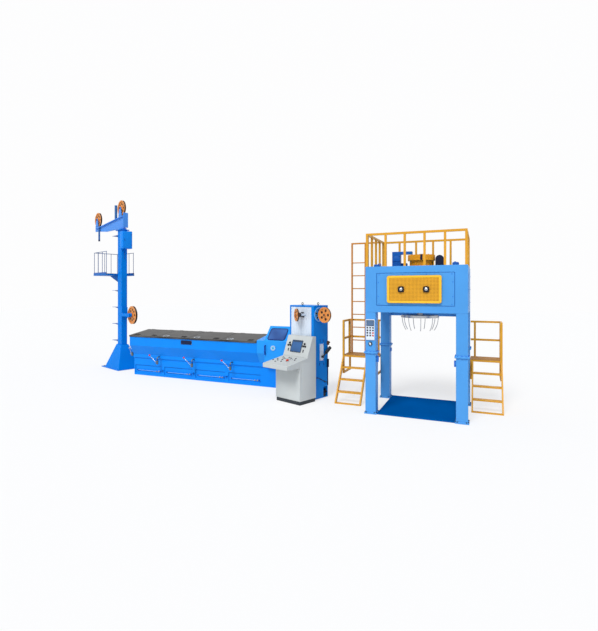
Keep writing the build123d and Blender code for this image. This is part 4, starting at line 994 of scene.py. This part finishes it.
# Dark selector switches on the desk
DESK_BUTTONS = (
    (-0.809, -0.158), (-0.757, -0.043), (-0.712, 0.118), (-0.406, 0.11), (-0.274, 0.142),
    (-0.63, -0.257), (-0.553, -0.078), (-0.66, -0.14), (-0.6, 0.04), (-0.47, -0.2), (-0.5, 0.13),
    (-0.2, 0.02),
)


def console_slope():
    return CONSOLE @ slope_face((0, 0.268, 1.16), CONSOLE_SLOPE)


def add_console_screen():
    """The display's frame with its header bar, and the switches on both sides of it."""
    middle = console_slope() @ at(-0.465, SLOPE_LENGTH / 2)
    bezel = [(rim(0.372, 0.325, 0.015, 0.02, 0.014), middle)]
    bezel.append((slab(0.334, 0.03, 0.014, 0.0, 0.002), middle @ at(0, 0.128)))
    fitting("screen_bezel", "screen_frame", bezel)
    knobs, plates = [], []
    knob = turned([(0, 0.03), (0.018, 0.03), (0.022, 0.026), (0.028, 0.004), (0.028, 0.0)], 20)
    for x in (-0.265, 0.268):
        base = middle @ at(x, 0.03)
        for dx, dy in ((-0.037, -0.02), (0.037, -0.02), (0.0, 0.044)):
            plates.append((button(0.03, 0.004, 0.001, 24), base @ at(dx, dy)))
            knobs.append((knob, base @ at(dx, dy, 0.003)))
            knobs.append((slab(0.01, 0.048, 0.006, 0.003, 0.002), base @ at(dx, dy, 0.031)))
        low = middle @ at(x, -0.09)
        for dy in (0.0, -0.04):
            plates.append((button(0.021, 0.004, 0.001, 20), low @ at(0, dy)))
            knobs.append((slab(0.022, 0.032, 0.014, 0.004, 0.003), low @ at(0, dy, 0.003)))
    fitting("switch_plates", "lever_steel", plates)
    fitting("switch_knobs", "black_plastic", knobs)


def desk_place(x, y):
    """A place on the sloping desk, right over a point of the floor plan."""
    desk = CONSOLE @ slope_face((0, DESK_FRONT, 1.04), DESK_SLOPE)
    return desk @ at(x, (y - DESK_FRONT) / math.cos(DESK_SLOPE))


def add_console_desk():
    """Selector switches, a row of buttons and the stop button, each in a steel ring."""
    desk = desk_place(0, DESK_FRONT)
    black, rings, grey = [], [], []
    for x, y in DESK_BUTTONS:
        place = desk_place(x, y)
        rings.append((turned([(0.019, 0.008), (0.025, 0.008), (0.028, 0.0)], 20), place))
        black.append((button(0.0195, 0.014, 0.003, 16), place))
        black.append((slab(0.009, 0.036, 0.008, 0.003, 0.002), place @ at(0, 0, 0.013)))
    for x in row(5, -0.62, -0.3):
        place = desk @ at(x, 0.5)
        rings.append((turned([(0.017, 0.008), (0.022, 0.008), (0.025, 0.0)], 20), place))
        grey.append((button(0.0175, 0.013, 0.003, 16), place))
    stop = desk_place(-0.334, -0.113)
    rings.append((turned([(0.03, 0.012), (0.036, 0.01), (0.038, 0.0)], 24), stop))
    head = [(0, 0.05), (0.03, 0.048), (0.042, 0.04), (0.042, 0.03), (0.02, 0.026), (0.02, 0.0)]
    fitting("desk_button_rings", "lever_steel", rings)
    fitting("desk_buttons_dark", "black_plastic", black)
    fitting("desk_buttons_grey", "button_grey", grey)
    fitting("desk_stop_button", "stop_red", [(turned(head, 28), stop)])


def add_console_doors():
    front = CONSOLE @ face((0, 0, 0), RIGHT)
    right = CONSOLE @ face((0, 0, 0), BACK)
    back = CONSOLE @ face((0, 0.615, 0), LEFT)
    doors = [(slab(0.85, 0.02, 0.006, 0.004, 0.002), console_slope() @ at(-0.4385, 0.02))]
    doors.append((slab(0.82, 0.72, 0.005, 0.01, 0.003), front @ at(-0.4385, 0.475)))
    doors.append((slab(0.5, 0.9, 0.004, 0.01, 0.002), right @ at(0.32, 0.6)))
    doors += spots(slab(0.41, 1.5, 0.005, 0.01, 0.003), back, (0.2275, 0.6495), (0.88,))
    locks = [(slab(0.024, 0.11, 0.02, 0.008, 0.004), back @ at(0.40, 0.9, 0.005))]
    fitting("console_doors", "console_grey", doors)
    fitting("console_locks", "dark_steel", locks)


# Coiler
HEAD_LEFT, HEAD_RIGHT, HEAD_FRONT, HEAD_BACK = 5.87, 8.125, -2.31, -0.385
HEAD_MIDDLE, HEAD_CENTRE, HEAD_TOP = 6.9975, 2.9205, 3.454
COLUMN_LEFT, COLUMN_RIGHT, COLUMN_FRONT, COLUMN_BACK = 5.9925, 8.0025, -2.18, -0.515


def add_cover_fittings():
    """The cover's raised rim and its two knobs with dark rings and bright middles."""
    cover = face((6.986, -2.355, HEAD_CENTRE), RIGHT)
    fitting("cover_rim", "rim_yellow", [(rim(1.196, 0.621, 0.007, 0.07, 0.048), cover)])
    rings, middles = [], []
    collar = turned([(0.036, 0.006), (0.066, 0.006), (0.077, -0.004), (0.077, -0.026)])
    middle = turned([(0, 0.016), (0.022, 0.013), (0.034, 0.006), (0.036, 0.0)], 28)
    for x in (-0.276, 0.276):
        knob = cover @ at(x, 0, 0.03)
        rings.append((collar, knob))
        rings += ring(slab(0.034, 0.026, 0.024, 0.006, 0.004), knob, 4, 0.066, -0.02, 45)
        middles.append((middle, knob))
    fitting("knob_rings", "black_plastic", rings)
    fitting("knob_middles", "lever_steel", middles)
    rivets = spots(ball(0.012, 0.5), cover, row(5, -0.56, 0.56), (-0.278, 0.278), 0.007)
    fitting("cover_rivets", "rim_yellow", rivets)


def add_operator_panel():
    """A display, three columns of keys and a rotary switch on the left column."""
    plate = face((COLUMN_LEFT, -2.335, 1.9775), RIGHT)
    screen = plate @ at(0, 0.155)
    fitting("panel_display_rim", "navy_enamel", [(rim(0.178, 0.138, 0.006, 0.012, 0.008), screen)])
    fitting("panel_display", "panel_display", [(slab(0.158, 0.118, 0.003, 0.003), screen)])
    collars, keys, reds = [], [], []
    for line, y in enumerate(row(4, 0.045, -0.135)):
        for x in (-0.066, 0.0, 0.066):
            key = plate @ at(x, y)
            collars.append((turned([(0.018, 0.004), (0.021, 0.004), (0.023, 0.0)], 16), key))
            last = x > 0.05 and line > 1
            (reds if last else keys).append((button(0.0185, 0.009, 0.002, 14), key))
    fitting("panel_key_rings", "lever_steel", collars)
    fitting("panel_keys", "black_plastic", keys)
    fitting("panel_red_keys", "stop_red", reds)
    strip = slab(0.19, 0.05, 0.004, 0.004, 0.002)
    fitting("panel_foot_strip", "bright_panel", [(strip, plate @ at(0, -0.2))])
    switch = face((COLUMN_LEFT, -2.335, 1.649), RIGHT)
    collar = turned([(0.026, 0.006), (0.043, 0.005), (0.0455, -0.002), (0.0455, -0.024)])
    fitting("switch_ring", "black_plastic", [(collar, switch)])
    grip = [(turned([(0, 0.012), (0.016, 0.012), (0.026, 0.004), (0.026, 0.0)], 24), switch)]
    lever = slab(0.016, 0.072, 0.014, 0.006, 0.004)
    grip.append((lever, switch @ tilt(38, "Z") @ at(0, 0, 0.008)))
    fitting("switch_grip", "switch_steel", grip)


def add_column_fittings():
    """Bolts through the columns' splices and feet, the clamps and strips inside, and a dark strip of
    painted shade in place of each groove.
    """
    bolts, anchors, straps, strips, groove_shades = [], [], [], [], []
    splice_bolt, anchor = bolt(0.024, 0.014), bolt(0.022, 0.02)
    for x in (COLUMN_LEFT, COLUMN_RIGHT):
        for y in (COLUMN_FRONT, COLUMN_BACK):
            for turn, deep in ((0, 0.13), (180, 0.13), (90, 0.1225), (270, 0.1225)):
                side = at(x, y) @ tilt(turn, "Z")
                flange = side @ at(0, -deep - 0.015)
                bolts += spots(splice_bolt, flange, (-0.085, 0.0, 0.085), (0,), 1.46)
                under = flange @ at(0, 0, 1.42) @ tilt(180, "X")
                bolts += spots(splice_bolt, under, (-0.085, 0.0, 0.085), (0,))
                anchors += spots(anchor, side, (-0.095, 0.095), (-deep - 0.0125,), 0.03)
    pad, hook = slab(0.11, 0.09, 0.03, 0.01, 0.005), slab(0.05, 0.14, 0.045, 0.01, 0.005)
    for x, way in ((HEAD_LEFT + 0.2455, 1), (HEAD_RIGHT - 0.2455, -1)):
        inner = face((x, COLUMN_FRONT, 1.3), (0, way, 0))
        straps += [(pad, inner), (hook, inner @ at(0, -0.02))]
        straps.append((pad, face((x, COLUMN_BACK, 1.3), (0, way, 0))))
    # A dark strip in place of each groove: painted shade.
    strip, groove = slab(0.05, 2.3, 0.004, 0.0, 0.0015), slab(0.012, 2.3, 0.003)
    for x, way in ((6.115, 1), (7.88, -1)):
        inner = face((x, COLUMN_BACK, 1.19), (0, way, 0))
        strips.append((strip, inner @ at(-0.085 * way, 0)))
        groove_shades.append((groove, inner @ at(-0.045 * way, 0)))
        front = face((x, -2.15, 1.19), (0, way, 0))
        groove_shades.append((groove, front @ at(0.075 * way, 0)))
    fitting("splice_bolts", "splice_blue", bolts)
    fitting("anchor_bolts", "dark_steel", anchors)
    fitting("column_clamps", "splice_blue", straps)
    fitting("column_light_strips", "pale_blue", strips)
    fitting("column_groove_shade", "deep_blue", groove_shades)


def add_head_fittings():
    """Panel screws and seal, side and back doors, and lifting lugs on the coiler's housing."""
    screw = bolt(0.02, 0.006)
    front = face((HEAD_MIDDLE, HEAD_FRONT, HEAD_CENTRE), RIGHT)
    screws = spots(screw, front, row(4, -0.8, 0.8), (-0.335, 0.335))
    screws += spots(screw, front, (-0.82, 0.82), (-0.16, 0.16))
    back = face((HEAD_MIDDLE, HEAD_BACK, HEAD_CENTRE), LEFT)
    doors, handles, lugs = [], [], []
    for x in (-0.5, 0.5):
        doors.append((slab(0.94, 0.8, 0.008, 0.02, 0.003), back @ at(x, 0)))
        for y in (-0.3, 0.3):
            place = back @ at(x * 1.92, y + 0.045, 0.012) @ tilt(90, "X")
            handles.append((button(0.013, 0.09, 0.002, 16), place))
    handles.append((slab(0.03, 0.16, 0.022, 0.01, 0.005), back @ at(0.07, 0, 0.004)))
    for x, right in ((HEAD_LEFT, FORWARD), (HEAD_RIGHT, BACK)):
        side = face((x, -1.3475, HEAD_CENTRE), right)
        doors.append((slab(1.35, 0.74, COVER_DEPTH, 0.02, 0.003), side))
        screws += spots(screw, side, (-0.64, 0.64), (-0.32, 0.0, 0.32), COVER_DEPTH)
    for x in (6.15, 7.85):
        for y in (-2.05, -0.65):
            lug = at(x, y, HEAD_TOP)
            lugs.append((slab(0.12, 0.12, 0.02, 0.015, 0.005), lug))
            lugs.append((hoop(0.035, 0.011, 24, 8), lug @ at(0, 0, 0.045) @ tilt(90, "X")))
    fitting("head_screws", "splice_blue", screws)
    groove = face((HEAD_MIDDLE, HEAD_FRONT + 0.012, HEAD_CENTRE), RIGHT)
    seal = rim(1.725, 0.757, 0.007, 0.012)
    fitting("head_panel_seal", "deep_blue", [(seal, groove)], slot="gantry_blue")
    fitting("head_doors", "gantry_blue", doors)
    fitting("head_door_handles", "dark_steel", handles)
    fitting("roof_lugs", "deep_blue", lugs)


# Roof
DRUM_X, DRUM_Y, DRUM_RADIUS = 7.0426, -1.4438, 0.32
ARM_X, ARM_FRONT, ARM_HEIGHT = 6.45, -1.524, 3.68
LEFT_PIPE = (
    (6.1, -2.04, 3.48), (6.1, -1.9, 3.47), (6.3, -1.6, 3.468), (6.5, -1.3, 3.468),
    (6.56, -1.25, 3.5),
)
RIGHT_PIPE = (
    (7.86, -1.96, 3.49), (7.86, -1.8, 3.47), (7.7, -1.6, 3.468), (7.55, -1.48, 3.468),
    (7.5, -1.46, 3.5),
)


def add_roof_fittings():
    """A dark plate of painted shade for the drum's slot, the drum's bolts, cap and ribs, the boxes
    with their pipes, and the arm's plate.
    """
    drum = at(DRUM_X, DRUM_Y, 3.619)
    # A dark plate where the drum's slot is: painted shade.
    wall = at(DRUM_X, DRUM_Y, 3.6865) @ tilt(-83, "Z") @ face((DRUM_RADIUS - 0.0015, 0, 0), BACK)
    fitting("drum_slot_shade", "navy_enamel", [(slab(0.05, 0.13, 0.004, 0.0, 0.001), wall)])
    bolts = ring(bolt(0.026, 0.012), drum, 12, 0.27, 0.135, 15)
    cap = turned([(0, 0.03), (0.05, 0.03), (0.06, 0.02), (0.09, 0.0)], 28)
    bolts.append((cap, drum @ at(0, 0, 0.135)))
    fitting("drum_bolts", "dark_steel", bolts)
    base = at(DRUM_X, DRUM_Y, 3.466)
    ribs = ring(slab(0.03, 0.012, 0.14, 0.0, 0.002), base, 16, 0.262)
    fitting("drum_base_ribs", "drum_orange", ribs)
    boxes = [(slab(0.16, 0.16, 0.13, 0.02, 0.01), at(6.59, -1.2, HEAD_TOP))]
    boxes.append((slab(0.13, 0.13, 0.06, 0.03, 0.015), at(6.1, -2.1, HEAD_TOP)))
    boxes.append((slab(0.14, 0.13, 0.075, 0.03, 0.02), at(7.86, -2.02, HEAD_TOP)))
    boxes += [(pipe(points, 0.012), at(0, 0)) for points in (LEFT_PIPE, RIGHT_PIPE)]
    fitting("roof_boxes", "deep_blue", boxes)
    arm = face((ARM_X, ARM_FRONT, ARM_HEIGHT), RIGHT)
    plate = [(slab(0.19, 0.13, 0.012, 0.01, 0.004), arm)]
    plate += spots(bolt(0.022, 0.01), arm, (-0.07, 0.07), (-0.06, 0.06), 0.012)
    fitting("arm_plate", "deep_blue", plate)


# Each side deck's left, right and front edge, and each stair's left, right and foot
SIDE_DECKS = ((4.92, 5.87, -1.05), (8.125, 8.87, -0.57))
STAIR_FEET = ((4.955, 5.565, -1.74), (8.205, 8.835, -1.26))
DECK_TOP, DECK_MIDDLE = 1.155, 0.3325


def add_deck_fittings():
    """Grip plates on the side decks, and a bar across each stair's foot."""
    plates = []
    for left, right, front in SIDE_DECKS:
        deck = at(0, front + DECK_MIDDLE, DECK_TOP)
        plates.append((slab(right - left - 0.02, 0.645, 0.002), deck @ at((left + right) / 2, 0)))
        bars_x = row(14, left + 0.06, right - 0.06)
        plates += spots(slab(0.012, 0.56, 0.0025), deck, bars_x, (0,), 0.002)
    fitting("deck_grip_plates", "deck_tan", plates)
    bars = [
        (slab(right - left, 0.07, 0.03, 0.0, 0.003), at((left + right) / 2, foot + 0.04))
        for left, right, foot in STAIR_FEET
    ]
    fitting("stair_foot_bars", "rail_orange", bars)


# Pay-off mast
BOX_PIPE = (
    (-0.3, 0, 4.49), (-0.3, 0, 4.44), (-0.26, 0, 4.4), (-0.19, 0, 4.38), (-0.166, 0, 4.34),
    (-0.166, 0, 4.1),
)
BOX_HEIGHT = 4.815
CAP_UNDERSIDE = 5.2
PLATFORM_TOP = 3.54


def add_tower_fittings():
    """Anchor and cap bolts, the box's door and pipe, the platform's kick plates and grip bars."""
    anchors = spots(bolt(0.034, 0.026), TOWER, (-0.6, 0.6), row(4, -0.42, 0.42), 0.03)
    under = TOWER @ at(0, 0, CAP_UNDERSIDE) @ tilt(180, "X")
    caps = spots(bolt(0.026, 0.016), under, (-0.195, 0.0, 0.195), (-0.14, 0.14))
    door = TOWER @ face((-0.44, 0, BOX_HEIGHT), FORWARD)
    side = TOWER @ face((-0.3025, 0.175, BOX_HEIGHT), LEFT)
    doors = [(slab(0.31, 0.6, 0.008, 0.008, 0.003), door)]
    doors.append((slab(0.24, 0.6, 0.005, 0.008, 0.002), side))
    locks = []
    for z in (-0.2, 0.2):
        hinge = door @ at(0.152, z + 0.03, 0.01) @ tilt(90, "X")
        locks.append((button(0.01, 0.06, 0.002, 14), hinge))
    locks.append((slab(0.02, 0.08, 0.014, 0.006, 0.003), door @ at(-0.125, 0, 0.008)))
    locks.append((pipe(BOX_PIPE, 0.014), TOWER))
    fitting("tower_anchor_bolts", "dark_steel", anchors)
    fitting("mast_cap_bolts", "deep_blue", caps)
    fitting("tower_box_door", "machine_blue", doors)
    fitting("tower_box_locks", "deep_blue", locks)
    deck = TOWER @ at(0, 0, PLATFORM_TOP)
    edges = spots(slab(1.13, 0.008, 0.07), deck, (0.7425,), (0.545, -0.545))
    edges.append((slab(0.008, 1.08, 0.07), deck @ at(1.315, 0)))
    fitting("platform_kick_plates", "deep_blue", edges)
    treads = spots(slab(0.012, 1.0, 0.003), deck, row(16, 0.22, 1.26), (0,))
    fitting("platform_grip_bars", "deep_blue", treads)


def add_jib_fittings():
    """Dark linings of painted shade inside the tubes and the jib's open end, and the forks' axle
    nuts.
    """
    post = turned([(0.0345, -0.004), (0.0345, -0.055), (0, -0.056)], 24)
    guide = turned([(0.0, 0.001), (0.0355, 0.001), (0.0365, 0.0), (0.0365, 0.05)], 24)
    tip = TOWER @ face((2.43, 0, 5.44), BACK)
    # Painted shade: dark linings inside the post, the guide and the jib's tip.
    shade_liners = [(post, TOWER @ at(0.56, 0, 6.2345))]
    shade_liners.append((slab(0.04, 0.09, 0.003), tip @ at(0, 0, -0.145)))
    shade_liners.append((guide, TOWER @ at(1.96, 0.071, 4.9435)))
    fitting("jib_end_shade", "navy_enamel", shade_liners, "jib")
    nuts = []
    for x, z in ((0.06, 6.0594), (2.2, 5.8479)):
        plate = TOWER @ face((x, 0.075, z), LEFT)
        nuts.append((bolt(0.05, 0.022), plate))
        nuts.append((turned([(0, 0.034), (0.012, 0.034), (0.014, 0.032), (0.014, 0.0)], 16), plate))
        nuts += spots(bolt(0.024, 0.012), plate, (-0.07, 0.07), (-0.27,))
    fitting("fork_nuts", "dark_steel", nuts, "jib")


# How many holes a wheel's web has, and their radius as a share of the wheel's
TOWER_HOLES, DANCER_HOLES = (8, 0.13), (5, 0.18)


def add_wheel_fittings():
    """A turned cap on the free side of each wheel's hub, and dark discs of painted shade that fill
    the web's holes.
    """
    for name, (centre, yaw, radius, body) in WHEELS.items():
        side = Matrix.Translation(centre) @ Matrix.Rotation(yaw, 4, "Z")
        hub = side @ face((0, -0.15 * radius, 0), RIGHT)
        cap = turned([(0, 0.004), (0.09 * radius, 0.004), (0.13 * radius, 0.0)], 24)
        parts = [(cap, hub)] + ring(bolt(0.05 * radius, 0.006), hub, 4, 0.17 * radius, 0.0, 45)
        fitting(name + "_hub_cap", "dark_steel", parts, body)
        count, share = DANCER_HOLES if name.startswith("dancer") else TOWER_HOLES
        middle = side @ face((0, 0.004, 0), RIGHT)
        # Dark discs that fill the web's holes: painted shade.
        back = button(share * radius + 0.001, 0.008, 0.0, 24)
        fitting(name + "_hole_shade_discs", "hole_dark", ring(back, middle, count, 0.56 * radius), body)


# Nodes with folded or welded edges, and how round those edges are
SOFT_EDGES = {
    "tower_base": 0.008, "tower_mast": 0.012, "tower_box": 0.006, "jib_beam": 0.004,
    "machine_base": 0.006, "tank_side_walls": 0.004, "lid_1": 0.005, "lid_2": 0.005,
    "lid_3": 0.005, "lid_4": 0.005, "hood": 0.008, "dancer_cabinet": 0.008,
    "console_plinth": 0.006, "console_body": 0.008, "console_desk": 0.008,
    "gantry_front_columns": 0.008, "gantry_back_columns": 0.008, "gantry_head": 0.008,
    "gantry_cover": 0.008, "operator_panel": 0.004, "roof_arm": 0.008, "roof_drum": 0.01,
    "side_stairs": 0.004, "side_platforms": 0.004,
}
SAME_PLANE_ANGLE = math.radians(0.5)
FOLD_ANGLE = math.radians(40)
CURVE_ANGLE = math.radians(22)
FLAT_ANGLE = math.radians(1)
CURVED_FACET = 0.03


def soften_edges(name, size):
    """Stands a copy of a node with rounded edges in its place."""
    node = frame["nodes"][name]
    bm = bmesh.new()
    bm.from_mesh(node.data)
    bmesh.ops.remove_doubles(bm, verts=bm.verts, dist=1e-5)
    bmesh.ops.dissolve_limit(
        bm, angle_limit=SAME_PLANE_ANGLE, use_dissolve_boundaries=False, verts=bm.verts,
        edges=bm.edges, delimit=set(),
    )
    paired = [edge for edge in bm.edges if len(edge.link_faces) == 2]
    folds = [
        edge for edge in paired
        if edge.calc_face_angle(0.0) > FOLD_ANGLE and edge.calc_length() > size * 3
    ]
    round_edges(bm, folds, size, 2)
    for edge in bm.edges:
        edge.smooth = len(edge.link_faces) == 2 and edge.calc_face_angle(0.0) < CURVE_ANGLE
    for facet in bm.faces:
        curved = any(edge.smooth and edge.calc_face_angle(0.0) > FLAT_ANGLE for edge in facet.edges)
        facet.smooth = curved and facet.calc_area() < CURVED_FACET
    piece = new_object(name + "_rounded", mesh_of(name + "_rounded", bm))
    piece.data.materials.append(node.data.materials[0])
    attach(piece, node["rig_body"])
    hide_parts(name)


add_camera()
add_world()
add_floor()
add_sun("key", KEY_STRENGTH, -6, 48, 25)
add_sun("fill", FILL_STRENGTH, 62, 30, 60)
bpy.context.scene.view_settings.view_transform = "Standard"
dress_cad_nodes()
add_latches()
add_hatch_fittings()
add_base_trim()
add_nameplate_rim()
add_valve_fittings()
add_hood_fittings()
add_cabinet_fittings()
add_cabinet_disc()
add_cabinet_back()
add_console_screen()
add_console_desk()
add_console_doors()
add_cover_fittings()
add_operator_panel()
add_column_fittings()
add_head_fittings()
add_roof_fittings()
add_deck_fittings()
add_tower_fittings()
add_jib_fittings()
add_wheel_fittings()
for edge_node, edge_size in SOFT_EDGES.items():
    soften_edges(edge_node, edge_size)
